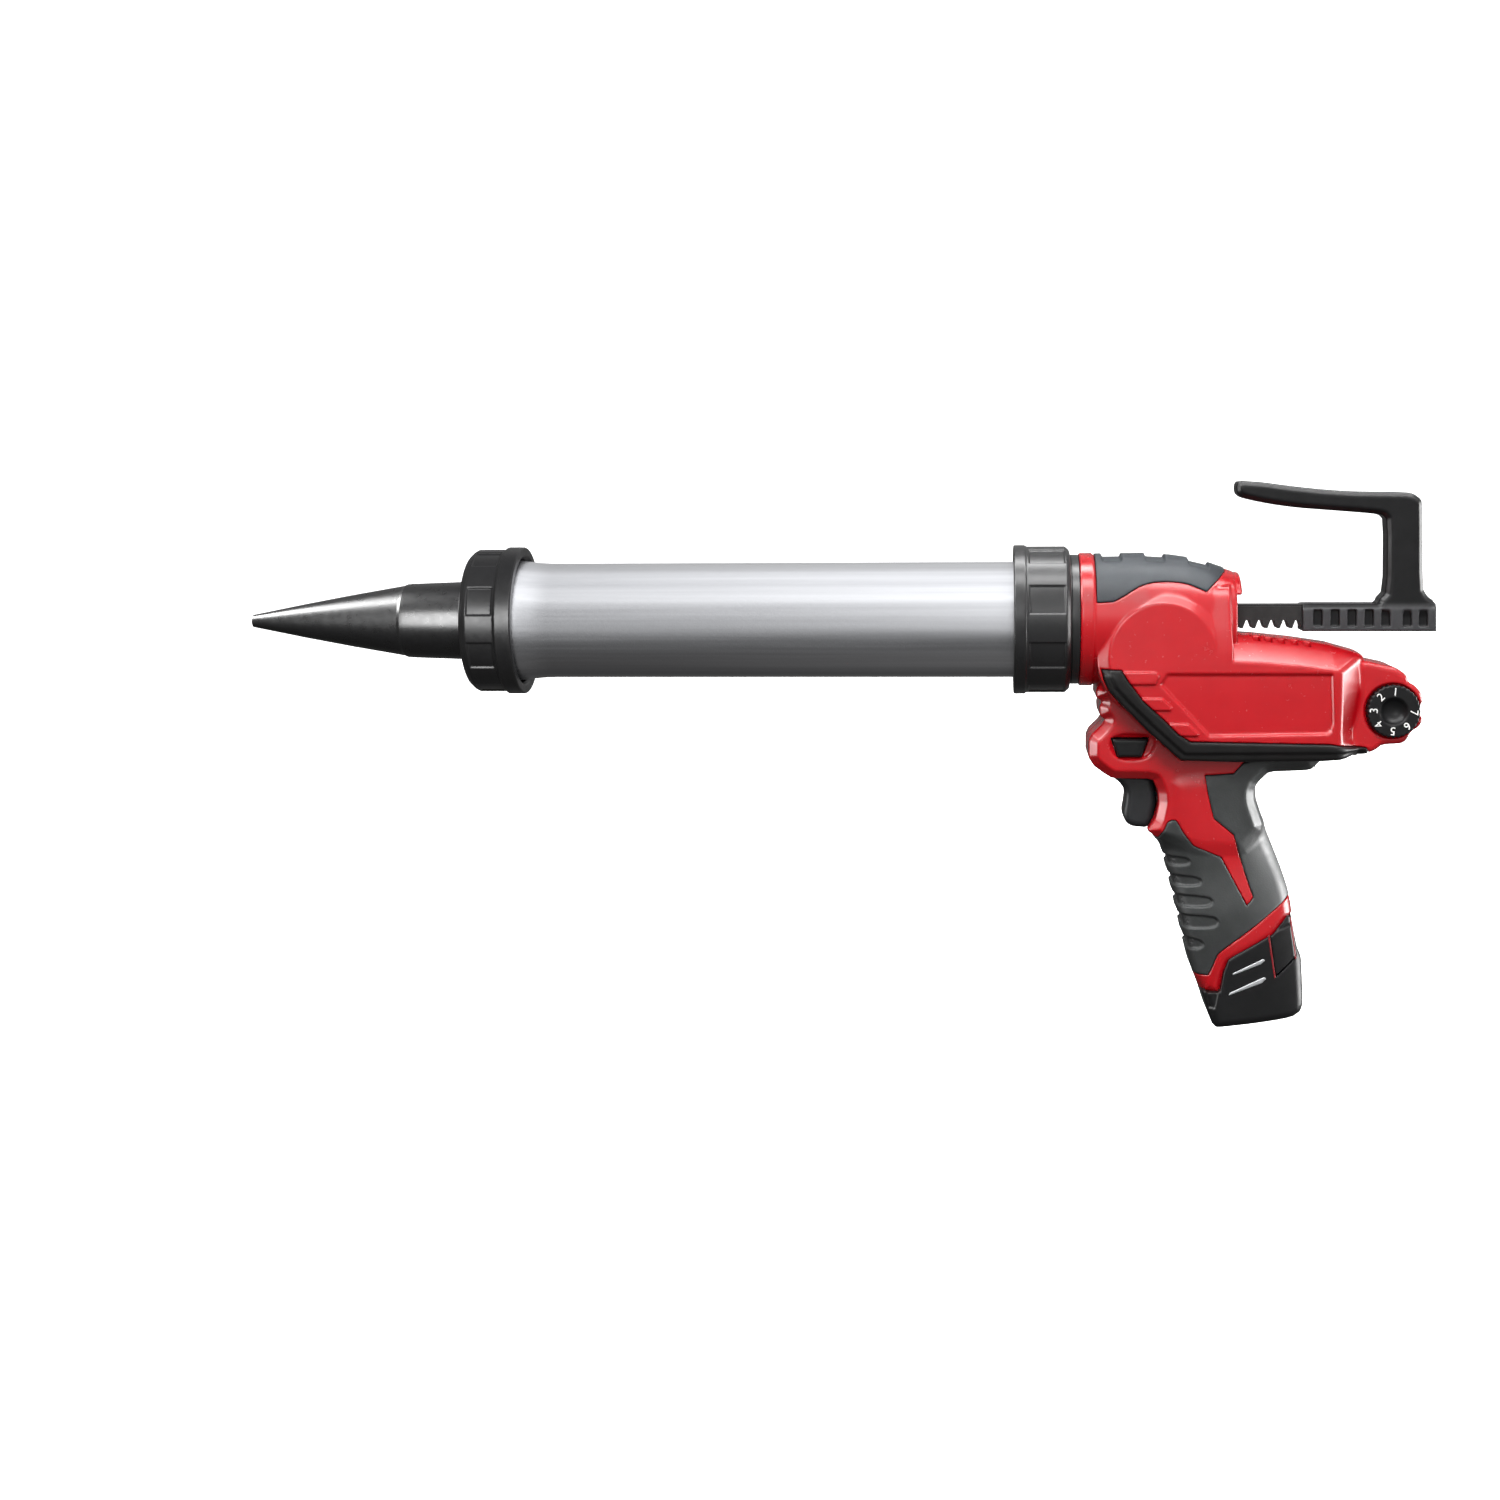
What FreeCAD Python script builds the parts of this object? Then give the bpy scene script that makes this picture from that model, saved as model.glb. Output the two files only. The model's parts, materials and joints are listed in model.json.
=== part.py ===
import FreeCAD, Part
import Sketcher
import math
import os
from FreeCAD import Vector, Placement, Rotation

# Cordless caulking tool, millimetres, +Z up, nozzle towards -X.
# Origin: middle of the bounding box, on the lowest plane.

doc = FreeCAD.newDocument("caulking_tool")
sheet = doc.addObject("Spreadsheet::Sheet", "Dims")
_row = [0]
VAL = {}


def cell(alias, value):
    _row[0] += 1
    sheet.set("A%d" % _row[0], "'" + alias)
    sheet.set("B%d" % _row[0], "%.5f" % value)
    sheet.setAlias("B%d" % _row[0], alias)
    VAL[alias] = float(value)
    return alias


# ---------------------------------------------------------------- driving sizes
for _a, _v in [
    ("grid_scale", 0.4717), ("grid_x_zero", 842.0), ("grid_z_zero", 1026.0),
    ("axis_height", 192.0),
    ("tube_outer_r", 27.0), ("tube_inner_r", 25.4), ("tube_front_x", -166.0), ("tube_rear_x", 91.2),
    ("nut_outer_r", 33.7), ("nut_rim_r", 34.9), ("pad_depth", 0.9), ("pad_angle", 22.5), ("pad_count", 8),
    ("rack_module", 1.8), ("rack_half_width", 5.5), ("rack_top", 199.0), ("rack_tip", 188.0),
    ("pinion_teeth", 16), ("pinion_x", 151.0),
    ("spur_module", 1.25), ("counter_teeth", 12), ("clutch_teeth", 30), ("motor_height", 156.0),
    ("bevel_module", 1.25), ("bevel_pinion_teeth", 14), ("bevel_gear_teeth", 20), ("bevel_face", 4.5),
    ("planet_module", 0.65), ("sun_teeth", 12), ("planet_teeth", 18), ("ring_teeth", 48),
    ("upper_r", 31.1), ("disc_x", 150.0), ("disc_height", 177.0), ("disc_r", 29.0), ("disc_half", 32.5),
    ("motor_half", 28.4), ("chin_half", 19.0), ("grip_half", 18.5), ("pod_half", 17.0), ("battery_half", 22.0),
    ("skin", 2.0), ("grip_tilt", 16.0), ("dial_x", 255.0), ("dial_height", 151.0), ("dial_r", 12.2),
    ("running_gap", 0.05),
]:
    cell(_a, _v)
doc.recompute()


def D(alias):
    return float(getattr(sheet, alias))


ZA = D("axis_height")
K = D("grid_scale")


def G(u, v):
    """Drawing grid to X, Z in millimetres."""
    return ((u - D("grid_x_zero")) * K, (D("grid_z_zero") - v) * K)


def GP(pts):
    return [G(u, v) for u, v in pts]


NODES = {}


def plane(body, role):
    return [o for o in body.Origin.OriginFeatures if o.Role == role][0]


def poly_sketch(body, name, pts, role="XZ_Plane"):
    """Closed polygon sketch; every corner's two coordinates are sheet cells."""
    sk = body.newObject("Sketcher::SketchObject", name)
    sk.AttachmentSupport = (plane(body, role), [""])
    sk.MapMode = "FlatFace"
    n = len(pts)
    for i in range(n):
        a, b = pts[i], pts[(i + 1) % n]
        sk.addGeometry(Part.LineSegment(Vector(a[0], a[1], 0), Vector(b[0], b[1], 0)), False)
    for i in range(n):
        sk.addConstraint(Sketcher.Constraint("Coincident", i, 2, (i + 1) % n, 1))
    todo = []
    for i, (x, y) in enumerate(pts):
        for ax, val, con, line in (("x", x, "DistanceX", -2), ("y", y, "DistanceY", -1)):
            if abs(val) < 1e-9:
                sk.addConstraint(Sketcher.Constraint("PointOnObject", i, 1, line))
            else:
                c = sk.addConstraint(Sketcher.Constraint(con, -1, 1, i, 1, val))
                todo.append((c, cell("%s_%s%d" % (name, ax, i), val)))
    for c, alias in todo:
        sk.setExpression("Constraints[%d]" % c, "Dims." + alias)
    return sk


def rev(label, pts, base=None, rot=None, node=True):
    """Turned piece: (along, radius) profile turned about its own X axis."""
    x0 = min(p[0] for p in pts)
    body = doc.addObject("PartDesign::Body", label)
    sk = poly_sketch(body, label + "_profile", [(p[0] - x0, p[1]) for p in pts])
    r = body.newObject("PartDesign::Revolution", label + "_turn")
    r.Profile = sk
    r.ReferenceAxis = (sk, ["H_Axis"])
    r.setExpression("Angle", "360")
    b = Vector(0, 0, ZA) if base is None else base
    rot = Rotation() if rot is None else rot
    body.Placement = Placement(b + rot.multVec(Vector(x0, 0, 0)), rot)
    body.Label = label
    if node:
        NODES[label] = body
    return body


TO_Y = Rotation(Vector(1, 0, 0), Vector(0, 1, 0))


def pad(label, pts, y0, y1, node=True):
    """Flat piece: X, Z outline given a width along Y."""
    x0 = min(p[0] for p in pts)
    z0 = min(p[1] for p in pts)
    body = doc.addObject("PartDesign::Body", label)
    sk = poly_sketch(body, label + "_outline", [(p[0] - x0, p[1] - z0) for p in pts])
    f = body.newObject("PartDesign::Pad", label + "_pad")
    f.Profile = sk
    f.SideType = "Symmetric"
    f.setExpression("Length", "Dims." + cell(label + "_width", y1 - y0))
    body.Placement = Placement(Vector(x0, 0.5 * (y0 + y1), z0), Rotation())
    body.Label = label
    if node:
        NODES[label] = body
    return body


def rect(x0, z0, x1, z1):
    return [(x0, z0), (x1, z0), (x1, z1), (x0, z1)]


def cyl(label, r, length, base, direction, node=False):
    o = doc.addObject("Part::Cylinder", label)
    o.setExpression("Radius", "Dims." + cell(label + "_r", r))
    o.setExpression("Height", "Dims." + cell(label + "_len", length))
    o.Placement = Placement(base, Rotation(Vector(0, 0, 1), direction))
    o.Label = label
    if node:
        NODES[label] = o
    return o


def box(label, x0, x1, y0, y1, z0, z1, node=False):
    o = doc.addObject("Part::Box", label)
    o.setExpression("Length", "Dims." + cell(label + "_lx", x1 - x0))
    o.setExpression("Width", "Dims." + cell(label + "_ly", y1 - y0))
    o.setExpression("Height", "Dims." + cell(label + "_lz", z1 - z0))
    o.Placement = Placement(Vector(x0, y0, z0), Rotation())
    o.Label = label
    if node:
        NODES[label] = o
    return o


def cut(label, base, tools):
    """Base less one or more tools, as document booleans."""
    if len(tools) > 1:
        t = doc.addObject("Part::MultiFuse", label + "_tools")
        t.Shapes = tools
    else:
        t = tools[0]
    c = doc.addObject("Part::Cut", label + "_cut")
    c.Base = base
    c.Tool = t
    c.Label = label
    NODES[label] = c
    return c


def fuse(label, shapes, node=True):
    f = doc.addObject("Part::MultiFuse", label + "_fuse")
    f.Shapes = shapes
    f.Label = label
    if node:
        NODES[label] = f
    return f


def feature(label, shape, node=True):
    o = doc.addObject("Part::Feature", label)
    o.Shape = shape
    o.Placement = shape.Placement
    o.Label = label
    if node:
        NODES[label] = o
    return o


# ---------------------------------------------------------------- plain shape helpers
def area2(p):
    return sum(p[i][0] * p[(i + 1) % len(p)][1] - p[(i + 1) % len(p)][0] * p[i][1] for i in range(len(p)))


def inset(poly, t):
    """Mitred inward offset that keeps the number of corners."""
    p = list(poly)
    sgn = 1.0 if area2(p) > 0 else -1.0
    n = len(p)
    out = []
    for i in range(n):
        a, b, c = p[i - 1], p[i], p[(i + 1) % n]
        d1 = (b[0] - a[0], b[1] - a[1])
        d2 = (c[0] - b[0], c[1] - b[1])
        l1, l2 = math.hypot(*d1), math.hypot(*d2)
        n1 = (-d1[1] / l1 * sgn, d1[0] / l1 * sgn)
        n2 = (-d2[1] / l2 * sgn, d2[0] / l2 * sgn)
        k = 1.0 + n1[0] * n2[0] + n1[1] * n2[1]
        k = max(k, 0.35)
        out.append((b[0] + t * (n1[0] + n2[0]) / k, b[1] + t * (n1[1] + n2[1]) / k))
    return out


def wire(poly, y):
    v = [Vector(x, y, z) for x, z in poly]
    return Part.makePolygon(v + [v[0]])


def prism(poly, y0, y1):
    return Part.Face(wire(poly, y0)).extrude(Vector(0, y1 - y0, 0))


def prism_ch(poly, h, c):
    """Outline with half-width h and side edges broken by c."""
    q = inset(poly, c)
    return Part.makeLoft([wire(q, -h), wire(poly, -h + c), wire(poly, h - c), wire(q, h)], True, True)


def cyl_y(x, z, r, y0, y1):
    return Part.makeCylinder(r, y1 - y0, Vector(x, y0, z), Vector(0, 1, 0))


def cyl_x(z, r, x0, x1):
    return Part.makeCylinder(r, x1 - x0, Vector(x0, 0, z), Vector(1, 0, 0))


def bx(x0, x1, y0, y1, z0, z1):
    return Part.makeBox(x1 - x0, y1 - y0, z1 - z0, Vector(x0, y0, z0))


def turned(pts, base, axis_rot=None):
    v = [Vector(x, 0, r) for x, r in pts]
    f = Part.Face(Part.makePolygon(v + [v[0]]))
    s = f.revolve(Vector(0, 0, 0), Vector(1, 0, 0), 360)
    s.Placement = Placement(base, Rotation() if axis_rot is None else axis_rot)
    return s


def involute(rb, r):
    a = math.acos(min(1.0, rb / r))
    return math.tan(a) - a


def gear_outline(m, z, add=0.9, ded=1.2, play=0.10, phase=0.0, flank=3):
    """Spur outline in its own plane; a tooth points along +second axis at phase 0."""
    r = m * z / 2.0
    rb = r * math.cos(math.radians(20))
    ra, rf = r + add * m, r - ded * m
    half = math.pi / (2 * z) - play * m / r
    base = half + involute(rb, r)
    pts = []
    for k in range(z):
        c = math.pi / 2 + phase + 2 * math.pi * k / z
        side = [(rf, base + 0.0 if rb > rf else half + (involute(rb, r) - involute(rb, rf)))]
        r0 = max(rb, rf)
        for j in range(flank + 1):
            rr = r0 + (ra - r0) * j / flank
            side.append((rr, base - involute(rb, rr)))
        if abs(side[0][0] - side[1][0]) < 1e-6:
            side = side[1:]
        for rr, an in side:
            pts.append((rr * math.cos(c + an), rr * math.sin(c + an)))
        for rr, an in reversed(side):
            pts.append((rr * math.cos(c - an), rr * math.sin(c - an)))
    # teeth run anticlockwise, each from its later flank; put them in angular order
    ordered = []
    per = len(pts) // z
    for k in range(z):
        t = pts[k * per:(k + 1) * per]
        ordered.extend(list(reversed(t)))
    return ordered


def gear_y(x, z, pts, y0, y1):
    """Gear outline (X, Z offsets) as a solid along Y."""
    w = [Vector(x + a, y0, z + b) for a, b in pts]
    return Part.Face(Part.makePolygon(w + [w[0]])).extrude(Vector(0, y1 - y0, 0))


def gear_x(z, pts, x0, x1, y=0.0):
    """Gear outline (Y, Z offsets) as a solid along X."""
    w = [Vector(x0, y + a, z + b) for a, b in pts]
    return Part.Face(Part.makePolygon(w + [w[0]])).extrude(Vector(x1 - x0, 0, 0))


# ---------------------------------------------------------------- nozzle, nut, barrel, collar
rev("nozzle", [(-281, 2.9), (-255.7, 8.0), (-232, 12.4), (-206, 17.0), (-203, 17.4), (-180, 18.4), (-170, 18.4),
               (-170, 27.3), (-167.6, 27.3), (-167.6, 22.0), (-168.4, 20.5), (-171.5, 17.0), (-182, 16.4), (-203, 15.2), (-232, 10.2),
               (-255.7, 5.9), (-274.5, 2.3), (-281, 2.3)])
rev("nozzle_gasket", [(-167.5, 22.4), (-167.5, 27.2), (-166.35, 27.2), (-166.35, 22.4)])
rev("barrel_tube", [(-166, 25.4), (-166, 28.9), (-153, 28.9), (-150, 28.6), (-146.5, 27.5), (-144, 27.0), (87, 27.0),
                    (87, 29.4), (91.2, 29.4), (91.2, 25.4)])


def ribbed_ring(label, profile, groove, turn_deg):
    """Turned ring whose grip is broken into alternate raised and sunk pads."""
    body = rev(label, profile)
    x0 = min(p[0] for p in profile)
    sk = poly_sketch(body, label + "_sunk", [(p[0] - x0, p[1]) for p in groove])
    g = body.newObject("PartDesign::Groove", label + "_groove")
    g.Profile = sk
    g.ReferenceAxis = (sk, ["H_Axis"])
    g.setExpression("Angle", "Dims.pad_angle")
    doc.recompute()
    pp = body.newObject("PartDesign::PolarPattern", label + "_pads")
    pp.Originals = [g]
    pp.Axis = (sk, ["H_Axis"])
    pp.Angle = 360
    pp.setExpression("Occurrences", "Dims.pad_count")
    body.Tip = pp
    body.Placement = Placement(body.Placement.Base, Rotation(Vector(1, 0, 0), turn_deg))
    return body


ribbed_ring("front_nut",
            [(-173.6, 18.8), (-173.6, 31.0), (-171.0, 33.2), (-170.0, 33.7), (-156.6, 33.7), (-155.8, 34.9), (-149.3, 34.9),
             (-148.5, 34.2), (-148.5, 30.4), (-150.5, 29.4), (-170.6, 29.4), (-170.6, 18.8)],
            [(-169.2, 32.8), (-157.4, 32.8), (-157.0, 35.5), (-169.6, 35.5)], 3.0)
ribbed_ring("rear_collar",
            [(82.5, 27.5), (82.5, 34.3), (83.2, 34.9), (87.6, 34.9), (88.4, 34.2), (106.8, 34.2), (108.5, 32.6),
             (108.5, 30.6), (86.6, 30.6), (86.6, 27.5)],
            [(89.6, 33.3), (105.8, 33.3), (106.2, 35.5), (89.2, 35.5)], 3.0)
rev("barrel_mount", [(91.6, 24.0), (91.6, 30.0), (108.9, 30.0), (108.9, 30.2), (112.6, 30.2), (112.6, 27.3), (122, 27.3),
                     (122, 10.5), (114, 10.5), (111, 24.0)])

# ---------------------------------------------------------------- plunger
rev("piston", [(-128, 3.05), (-128, 23.8), (-127, 24.8), (-121.6, 24.8), (-121.6, 22.6), (-118.4, 22.6), (-118.4, 24.8),
               (-117, 24.8), (-116.2, 24.0), (-116.2, 3.05)])
rev("piston_seal", [(-121.5, 22.7), (-121.5, 24.4), (-120, 25.1), (-118.5, 24.4), (-118.5, 22.7)])
rev("piston_screw", [(-131.2, 0), (-131.2, 5.5), (-128.05, 5.5), (-128.05, 3.0), (-106, 3.0), (-106, 0)])

# toothed rod: teeth point down, a tooth space sits over the pinion
rm = D("rack_module")
pitch = math.pi * rm
r_pin = rm * D("pinion_teeth") / 2.0
pitch_z = D("rack_tip") + 0.9 * rm
root_z = pitch_z + 1.2 * rm
PIN_X, PIN_Z = D("pinion_x"), pitch_z - r_pin
ht = pitch / 4.0 - 0.10 * rm
t20 = math.tan(math.radians(20))
teeth = []
k0 = int((-95 - PIN_X) / pitch)
k1 = int((219 - PIN_X) / pitch)
for k in range(k0, k1):
    c = PIN_X + (k + 0.5) * pitch
    teeth += [(c - ht - 1.2 * rm * t20, root_z), (c - ht + 0.9 * rm * t20, D("rack_tip")),
              (c + ht - 0.9 * rm * t20, D("rack_tip")), (c + ht + 1.2 * rm * t20, root_z)]
ch = 0.8
rack_poly = [(-116.1, D("rack_top") - ch), (-116.1, D("rack_tip")), (-101, D("rack_tip")), (-99, root_z)] + teeth + \
            [(219.2, root_z), (220.2, D("rack_tip")), (262.5, D("rack_tip")), (262.5, D("rack_top") - ch)]
rw = D("rack_half_width")
rack = prism(rack_poly, -rw, rw)
rack = rack.fuse(prism([(-116.1, D("rack_top") - ch), (262.5, D("rack_top") - ch), (262.5, D("rack_top")),
                        (-116.1, D("rack_top"))], -rw + ch, rw - ch)).removeSplitter()
rack = rack.cut(cyl_x(ZA, 3.05, -117, -105))
for px in (229.0, 251.0):
    rack = rack.cut(cyl_y(px, 195.5, 2.05, -10, 10))
feature("rack", rack)

# slide block with post and hook arm
blk = prism_ch(rect(217, 186, 281, 201.6), 9.0, 1.6)
hook = GP([(1237, 481), (1260, 481.5), (1280, 484), (1300, 487), (1320, 489), (1340, 490.5), (1360, 492), (1400, 492),
           (1412, 496), (1419, 502), (1422.5, 512), (1422.5, 590), (1427, 598), (1434, 602), (1434, 612), (1378, 612),
           (1378, 600), (1386.5, 591), (1386.5, 520), (1381, 513.5), (1360, 512), (1340, 511), (1320, 509), (1300, 508),
           (1280, 505.5), (1260, 502), (1240, 497.5), (1236, 492), (1235.5, 486)])
hk = prism_ch(hook, 8.0, 1.6)
handle = blk.fuse(hk).removeSplitter()
handle = handle.cut(bx(216, 263, -rw - 0.1, rw + 0.1, D("rack_tip") - 0.1, D("rack_top") + 0.1))
pockets = [(221.6 + 6.55 * i, 5.0) for i in range(5)] + [(258.0, 7.2), (268.4, 7.2)]
for x, w in pockets:
    for y0, y1 in ((-10, -7), (7, 10)):
        handle = handle.cut(bx(x, x + w, y0, y1, 188.6, 198.0))
for px in (229.0, 251.0):
    handle = handle.cut(cyl_y(px, 195.5, 2.05, -10, 10))
feature("pull_handle", handle)
p1 = cyl("handle_pin_front", 2.0, 13.6, Vector(229, -6.8, 195.5), Vector(0, 1, 0))
p2 = cyl("handle_pin_rear", 2.0, 13.6, Vector(251, -6.8, 195.5), Vector(0, 1, 0))
doc.recompute()
feature("handle_pins", Part.makeCompound([p1.Shape, p2.Shape]))

# ---------------------------------------------------------------- drive train
MZ = D("motor_height")
sm = D("spur_module")
a_spur = sm * (D("counter_teeth") + D("clutch_teeth")) / 2.0
CS_X = PIN_X + math.sqrt(a_spur ** 2 - (PIN_Z - MZ) ** 2)
gap = D("running_gap")

rp = gear_y(PIN_X, PIN_Z, gear_outline(rm, int(D("pinion_teeth"))), -4.5, 4.5)
feature("rack_pinion", rp.cut(cyl_y(PIN_X, PIN_Z, 5.0, -6, 6)))
cyl("main_shaft", 5.0, 41.0, Vector(PIN_X, -20.5, PIN_Z), Vector(0, 1, 0), node=True)
sleeve = cyl_y(PIN_X, PIN_Z, 9.0, 15.0, 17.9).cut(cyl_y(PIN_X, PIN_Z, 5.0, 14, 19))
feature("clutch_sleeve", sleeve)

# angle of the line of centres, so that a tooth of one gear faces a space of the other
ang = math.atan2(MZ - PIN_Z, CS_X - PIN_X)
zc, zg = int(D("counter_teeth")), int(D("clutch_teeth"))
gear_ph = ang - math.pi / 2
pin_ph = ang + math.pi - math.pi / 2 + math.pi / zc
cg = gear_y(PIN_X, PIN_Z, gear_outline(sm, zg, phase=gear_ph), 8.0, 14.0)
cg = cg.cut(cyl_y(PIN_X, PIN_Z, 5.0 + gap, 7, 15))
for k in range(6):
    a = k * math.pi / 3
    cg = cg.cut(cyl_y(PIN_X + 12 * math.cos(a), PIN_Z + 12 * math.sin(a), 3.0, 7, 15))
feature("clutch_gear", cg)
cp = gear_y(CS_X, MZ, gear_outline(sm, zc, phase=pin_ph), 7.4, 14.6).cut(cyl_y(CS_X, MZ, 3.5, 6, 16))
feature("counter_pinion", cp)
cyl("countershaft", 3.5, 41.0, Vector(CS_X, -20.5, MZ), Vector(0, 1, 0), node=True)

# bevel pair, straight teeth that all run to the crossing point of the two axes
bm = D("bevel_module")
z1, z2 = int(D("bevel_pinion_teeth")), int(D("bevel_gear_teeth"))
br1, br2 = bm * z1 / 2.0, bm * z2 / 2.0
cone = math.hypot(br1, br2)
shrink = (cone - D("bevel_face")) / cone


def bevel(zt, r_own, r_other, phase):
    """Toothed frustum about local +Z with its apex at the local origin."""
    d = math.atan2(r_own, r_other)
    add, ded = 0.75 * bm, 1.15 * bm
    pts = []
    w_p = math.pi / (2 * zt) * 0.80
    for k in range(zt):
        c = phase + 2 * math.pi * k / zt
        for off, w in ((-ded, 1.45), (add, 0.50)):
            rr = r_own + off * math.cos(d)
            zz = r_other - off * math.sin(d)
            pts.append((rr, c - w_p * w, zz))
        for off, w in ((add, 0.50), (-ded, 1.45)):
            rr = r_own + off * math.cos(d)
            zz = r_other - off * math.sin(d)
            pts.append((rr, c + w_p * w, zz))
    big = [Vector(r * math.cos(a), r * math.sin(a), z) for r, a, z in pts]
    small = [v * shrink for v in big]
    faces = []
    n = len(big)
    for i in range(n):
        j = (i + 1) % n
        for tri in ((big[i], big[j], small[j]), (big[i], small[j], small[i])):
            faces.append(Part.Face(Part.makePolygon(list(tri) + [tri[0]])))
    # end caps as fans to a point on the axis
    zb = sum(v.z for v in big) / n
    zs = sum(v.z for v in small) / n
    for ring, apex in ((big, Vector(0, 0, zb)), (small, Vector(0, 0, zs))):
        for i in range(n):
            j = (i + 1) % n
            faces.append(Part.Face(Part.makePolygon([ring[i], ring[j], apex, ring[i]])))
    s = Part.Solid(Part.makeShell(faces))
    if s.Volume < 0:
        s.reverse()
    return s, zb, zs


g1, zb1, zs1 = bevel(z1, br1, br2, 0.0)
g1.Placement = Placement(Vector(CS_X, 0, MZ), Rotation(Vector(0, 0, 1), Vector(1, 0, 0)))
hub = cyl_x(MZ, 5.0, CS_X + zb1 - 1.0, 184.0)
bp = g1.fuse(hub)
feature("bevel_pinion", bp)
g2, zb2, zs2 = bevel(z2, br2, br1, 0.0)
g2.Placement = Placement(Vector(CS_X, 0, MZ), Rotation(Vector(0, 0, 1), Vector(0, -1, 0)))
bg = g2.fuse(cyl_y(CS_X, MZ, 9.5, -13.5, -zb2 + 0.5)).cut(cyl_y(CS_X, MZ, 3.5, -30, 30))
feature("bevel_gear", bg)

# planetary stage on the motor axis
pm = D("planet_module")
zs_, zp_, zr_ = int(D("sun_teeth")), int(D("planet_teeth")), int(D("ring_teeth"))
a_pl = pm * (zs_ + zp_) / 2.0
sun = gear_x(MZ, gear_outline(pm, zs_), 186.8, 194.4).cut(cyl_x(MZ, 1.6, 180, 200))
feature("sun_gear", sun)
carrier = cyl_x(MZ, 13.0, 184.0, 186.0)
for k in range(3):
    a = math.pi / 2 + 2 * math.pi * k / 3
    yy, zz = a_pl * math.cos(a), MZ + a_pl * math.sin(a)
    carrier = carrier.fuse(Part.makeCylinder(1.6, 9.0, Vector(185.5, yy, zz), Vector(1, 0, 0)))
feature("planet_carrier", carrier)
PLANETS = []
for k, nm in enumerate("abc"):
    a = math.pi / 2 + 2 * math.pi * k / 3
    yy, zz = a_pl * math.cos(a), MZ + a_pl * math.sin(a)
    # the sun has a tooth at +90 deg; 12 teeth repeat every 30 deg, so each planet shows it a space
    ph = (a + math.pi) - math.pi / 2 + math.pi / zp_
    pg = gear_x(zz, gear_outline(pm, zp_, phase=ph), 186.6, 193.6, y=yy)
    pg = pg.cut(Part.makeCylinder(1.6 + gap, 12, Vector(185, yy, zz), Vector(1, 0, 0)))
    feature("planet_gear_" + nm, pg)
    PLANETS.append((yy, zz))
# each planet shows the ring a space on its outer side, so the ring has a tooth there
rg_cut = gear_x(MZ, gear_outline(pm, zr_, add=1.2, ded=0.75, play=-0.10, phase=math.pi / zr_), 184.0, 197.0)
ring = cyl_x(MZ, 18.6, 184.6, 195.8).cut(rg_cut)
feature("ring_gear", ring)

# motor
rev("motor_shaft", [(186.6, 0), (186.6, 1.6), (238.6, 1.6), (238.6, 0)], base=Vector(0, 0, MZ))
arm = cyl_x(MZ, 13.4, 203, 229).cut(cyl_x(MZ, 1.6, 200, 232))
for k in range(5):
    a = 2 * math.pi * k / 5
    sl = bx(202, 230, 8.0, 15.0, -0.9, 0.9)
    sl.Placement = Placement(Vector(0, 0, MZ), Rotation(Vector(1, 0, 0), math.degrees(a)))
    arm = arm.cut(sl)
feature("armature", arm)
rev("motor_can", [(196.2, 4.0), (196.2, 18.4), (233.0, 18.4), (233.0, 15.9), (198.0, 15.9), (198.0, 4.0)], base=Vector(0, 0, MZ))
rev("motor_end_cap", [(233.05, 4.0), (233.05, 18.4), (238.0, 18.4), (241.0, 14.0), (241.0, 0.0), (239.2, 0.0), (239.2, 4.0)],
    base=Vector(0, 0, MZ))
b1 = turned([(196.4, 1.65), (196.4, 3.95), (200.4, 3.95), (200.4, 1.65)], Vector(0, 0, MZ))
b2 = turned([(233.2, 1.65), (233.2, 3.95), (238.0, 3.95), (238.0, 1.65)], Vector(0, 0, MZ))
feature("motor_bushes", Part.makeCompound([b1, b2]))
mag = []
for sgn in (0, 180):
    m_ = turned([(203, 14.0), (203, 15.8), (229, 15.8), (229, 14.0)], Vector(0, 0, MZ))
    keep = Part.makeBox(40, 40, 19, Vector(195, 0 if sgn == 0 else -40, MZ - 9.5))
    mag.append(m_.common(keep))
feature("motor_magnets", Part.makeCompound(mag))

# bearing plates either side of the gears
for nm, y0, y1 in (("left", -20.5, -18.0), ("right", 18.0, 20.5)):
    pl = cyl_y(D("disc_x"), D("disc_height"), 25.3, y0, y1).fuse(cyl_y(CS_X, MZ, 10.8, y0, y1))
    pl = pl.cut(cyl_y(PIN_X, PIN_Z, 9.0, -30, 30)).cut(cyl_y(CS_X, MZ, 7.0, -30, 30)).removeSplitter()
    feature("gear_plate_" + nm, pl)
bear = []
for x, z, ri, ro in ((PIN_X, PIN_Z, 5.0, 9.0), (CS_X, MZ, 3.5, 7.0)):
    for y0, y1 in ((-20.5, -18.0), (18.0, 20.5)):
        bear.append(cyl_y(x, z, ro - 0.02, y0, y1).cut(cyl_y(x, z, ri + gap, -30, 30)))
feature("shaft_bearings", Part.makeCompound(bear))
gd = box("guide_block", 172.0, 183.8, -12.0, 12.0, 184.0, 203.0)
gs = box("guide_slot", 170.0, 186.0, -rw - 0.35, rw + 0.35, D("rack_tip") - 0.4, D("rack_top") + 0.4)
cut("rack_guide", gd, [gs])

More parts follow.
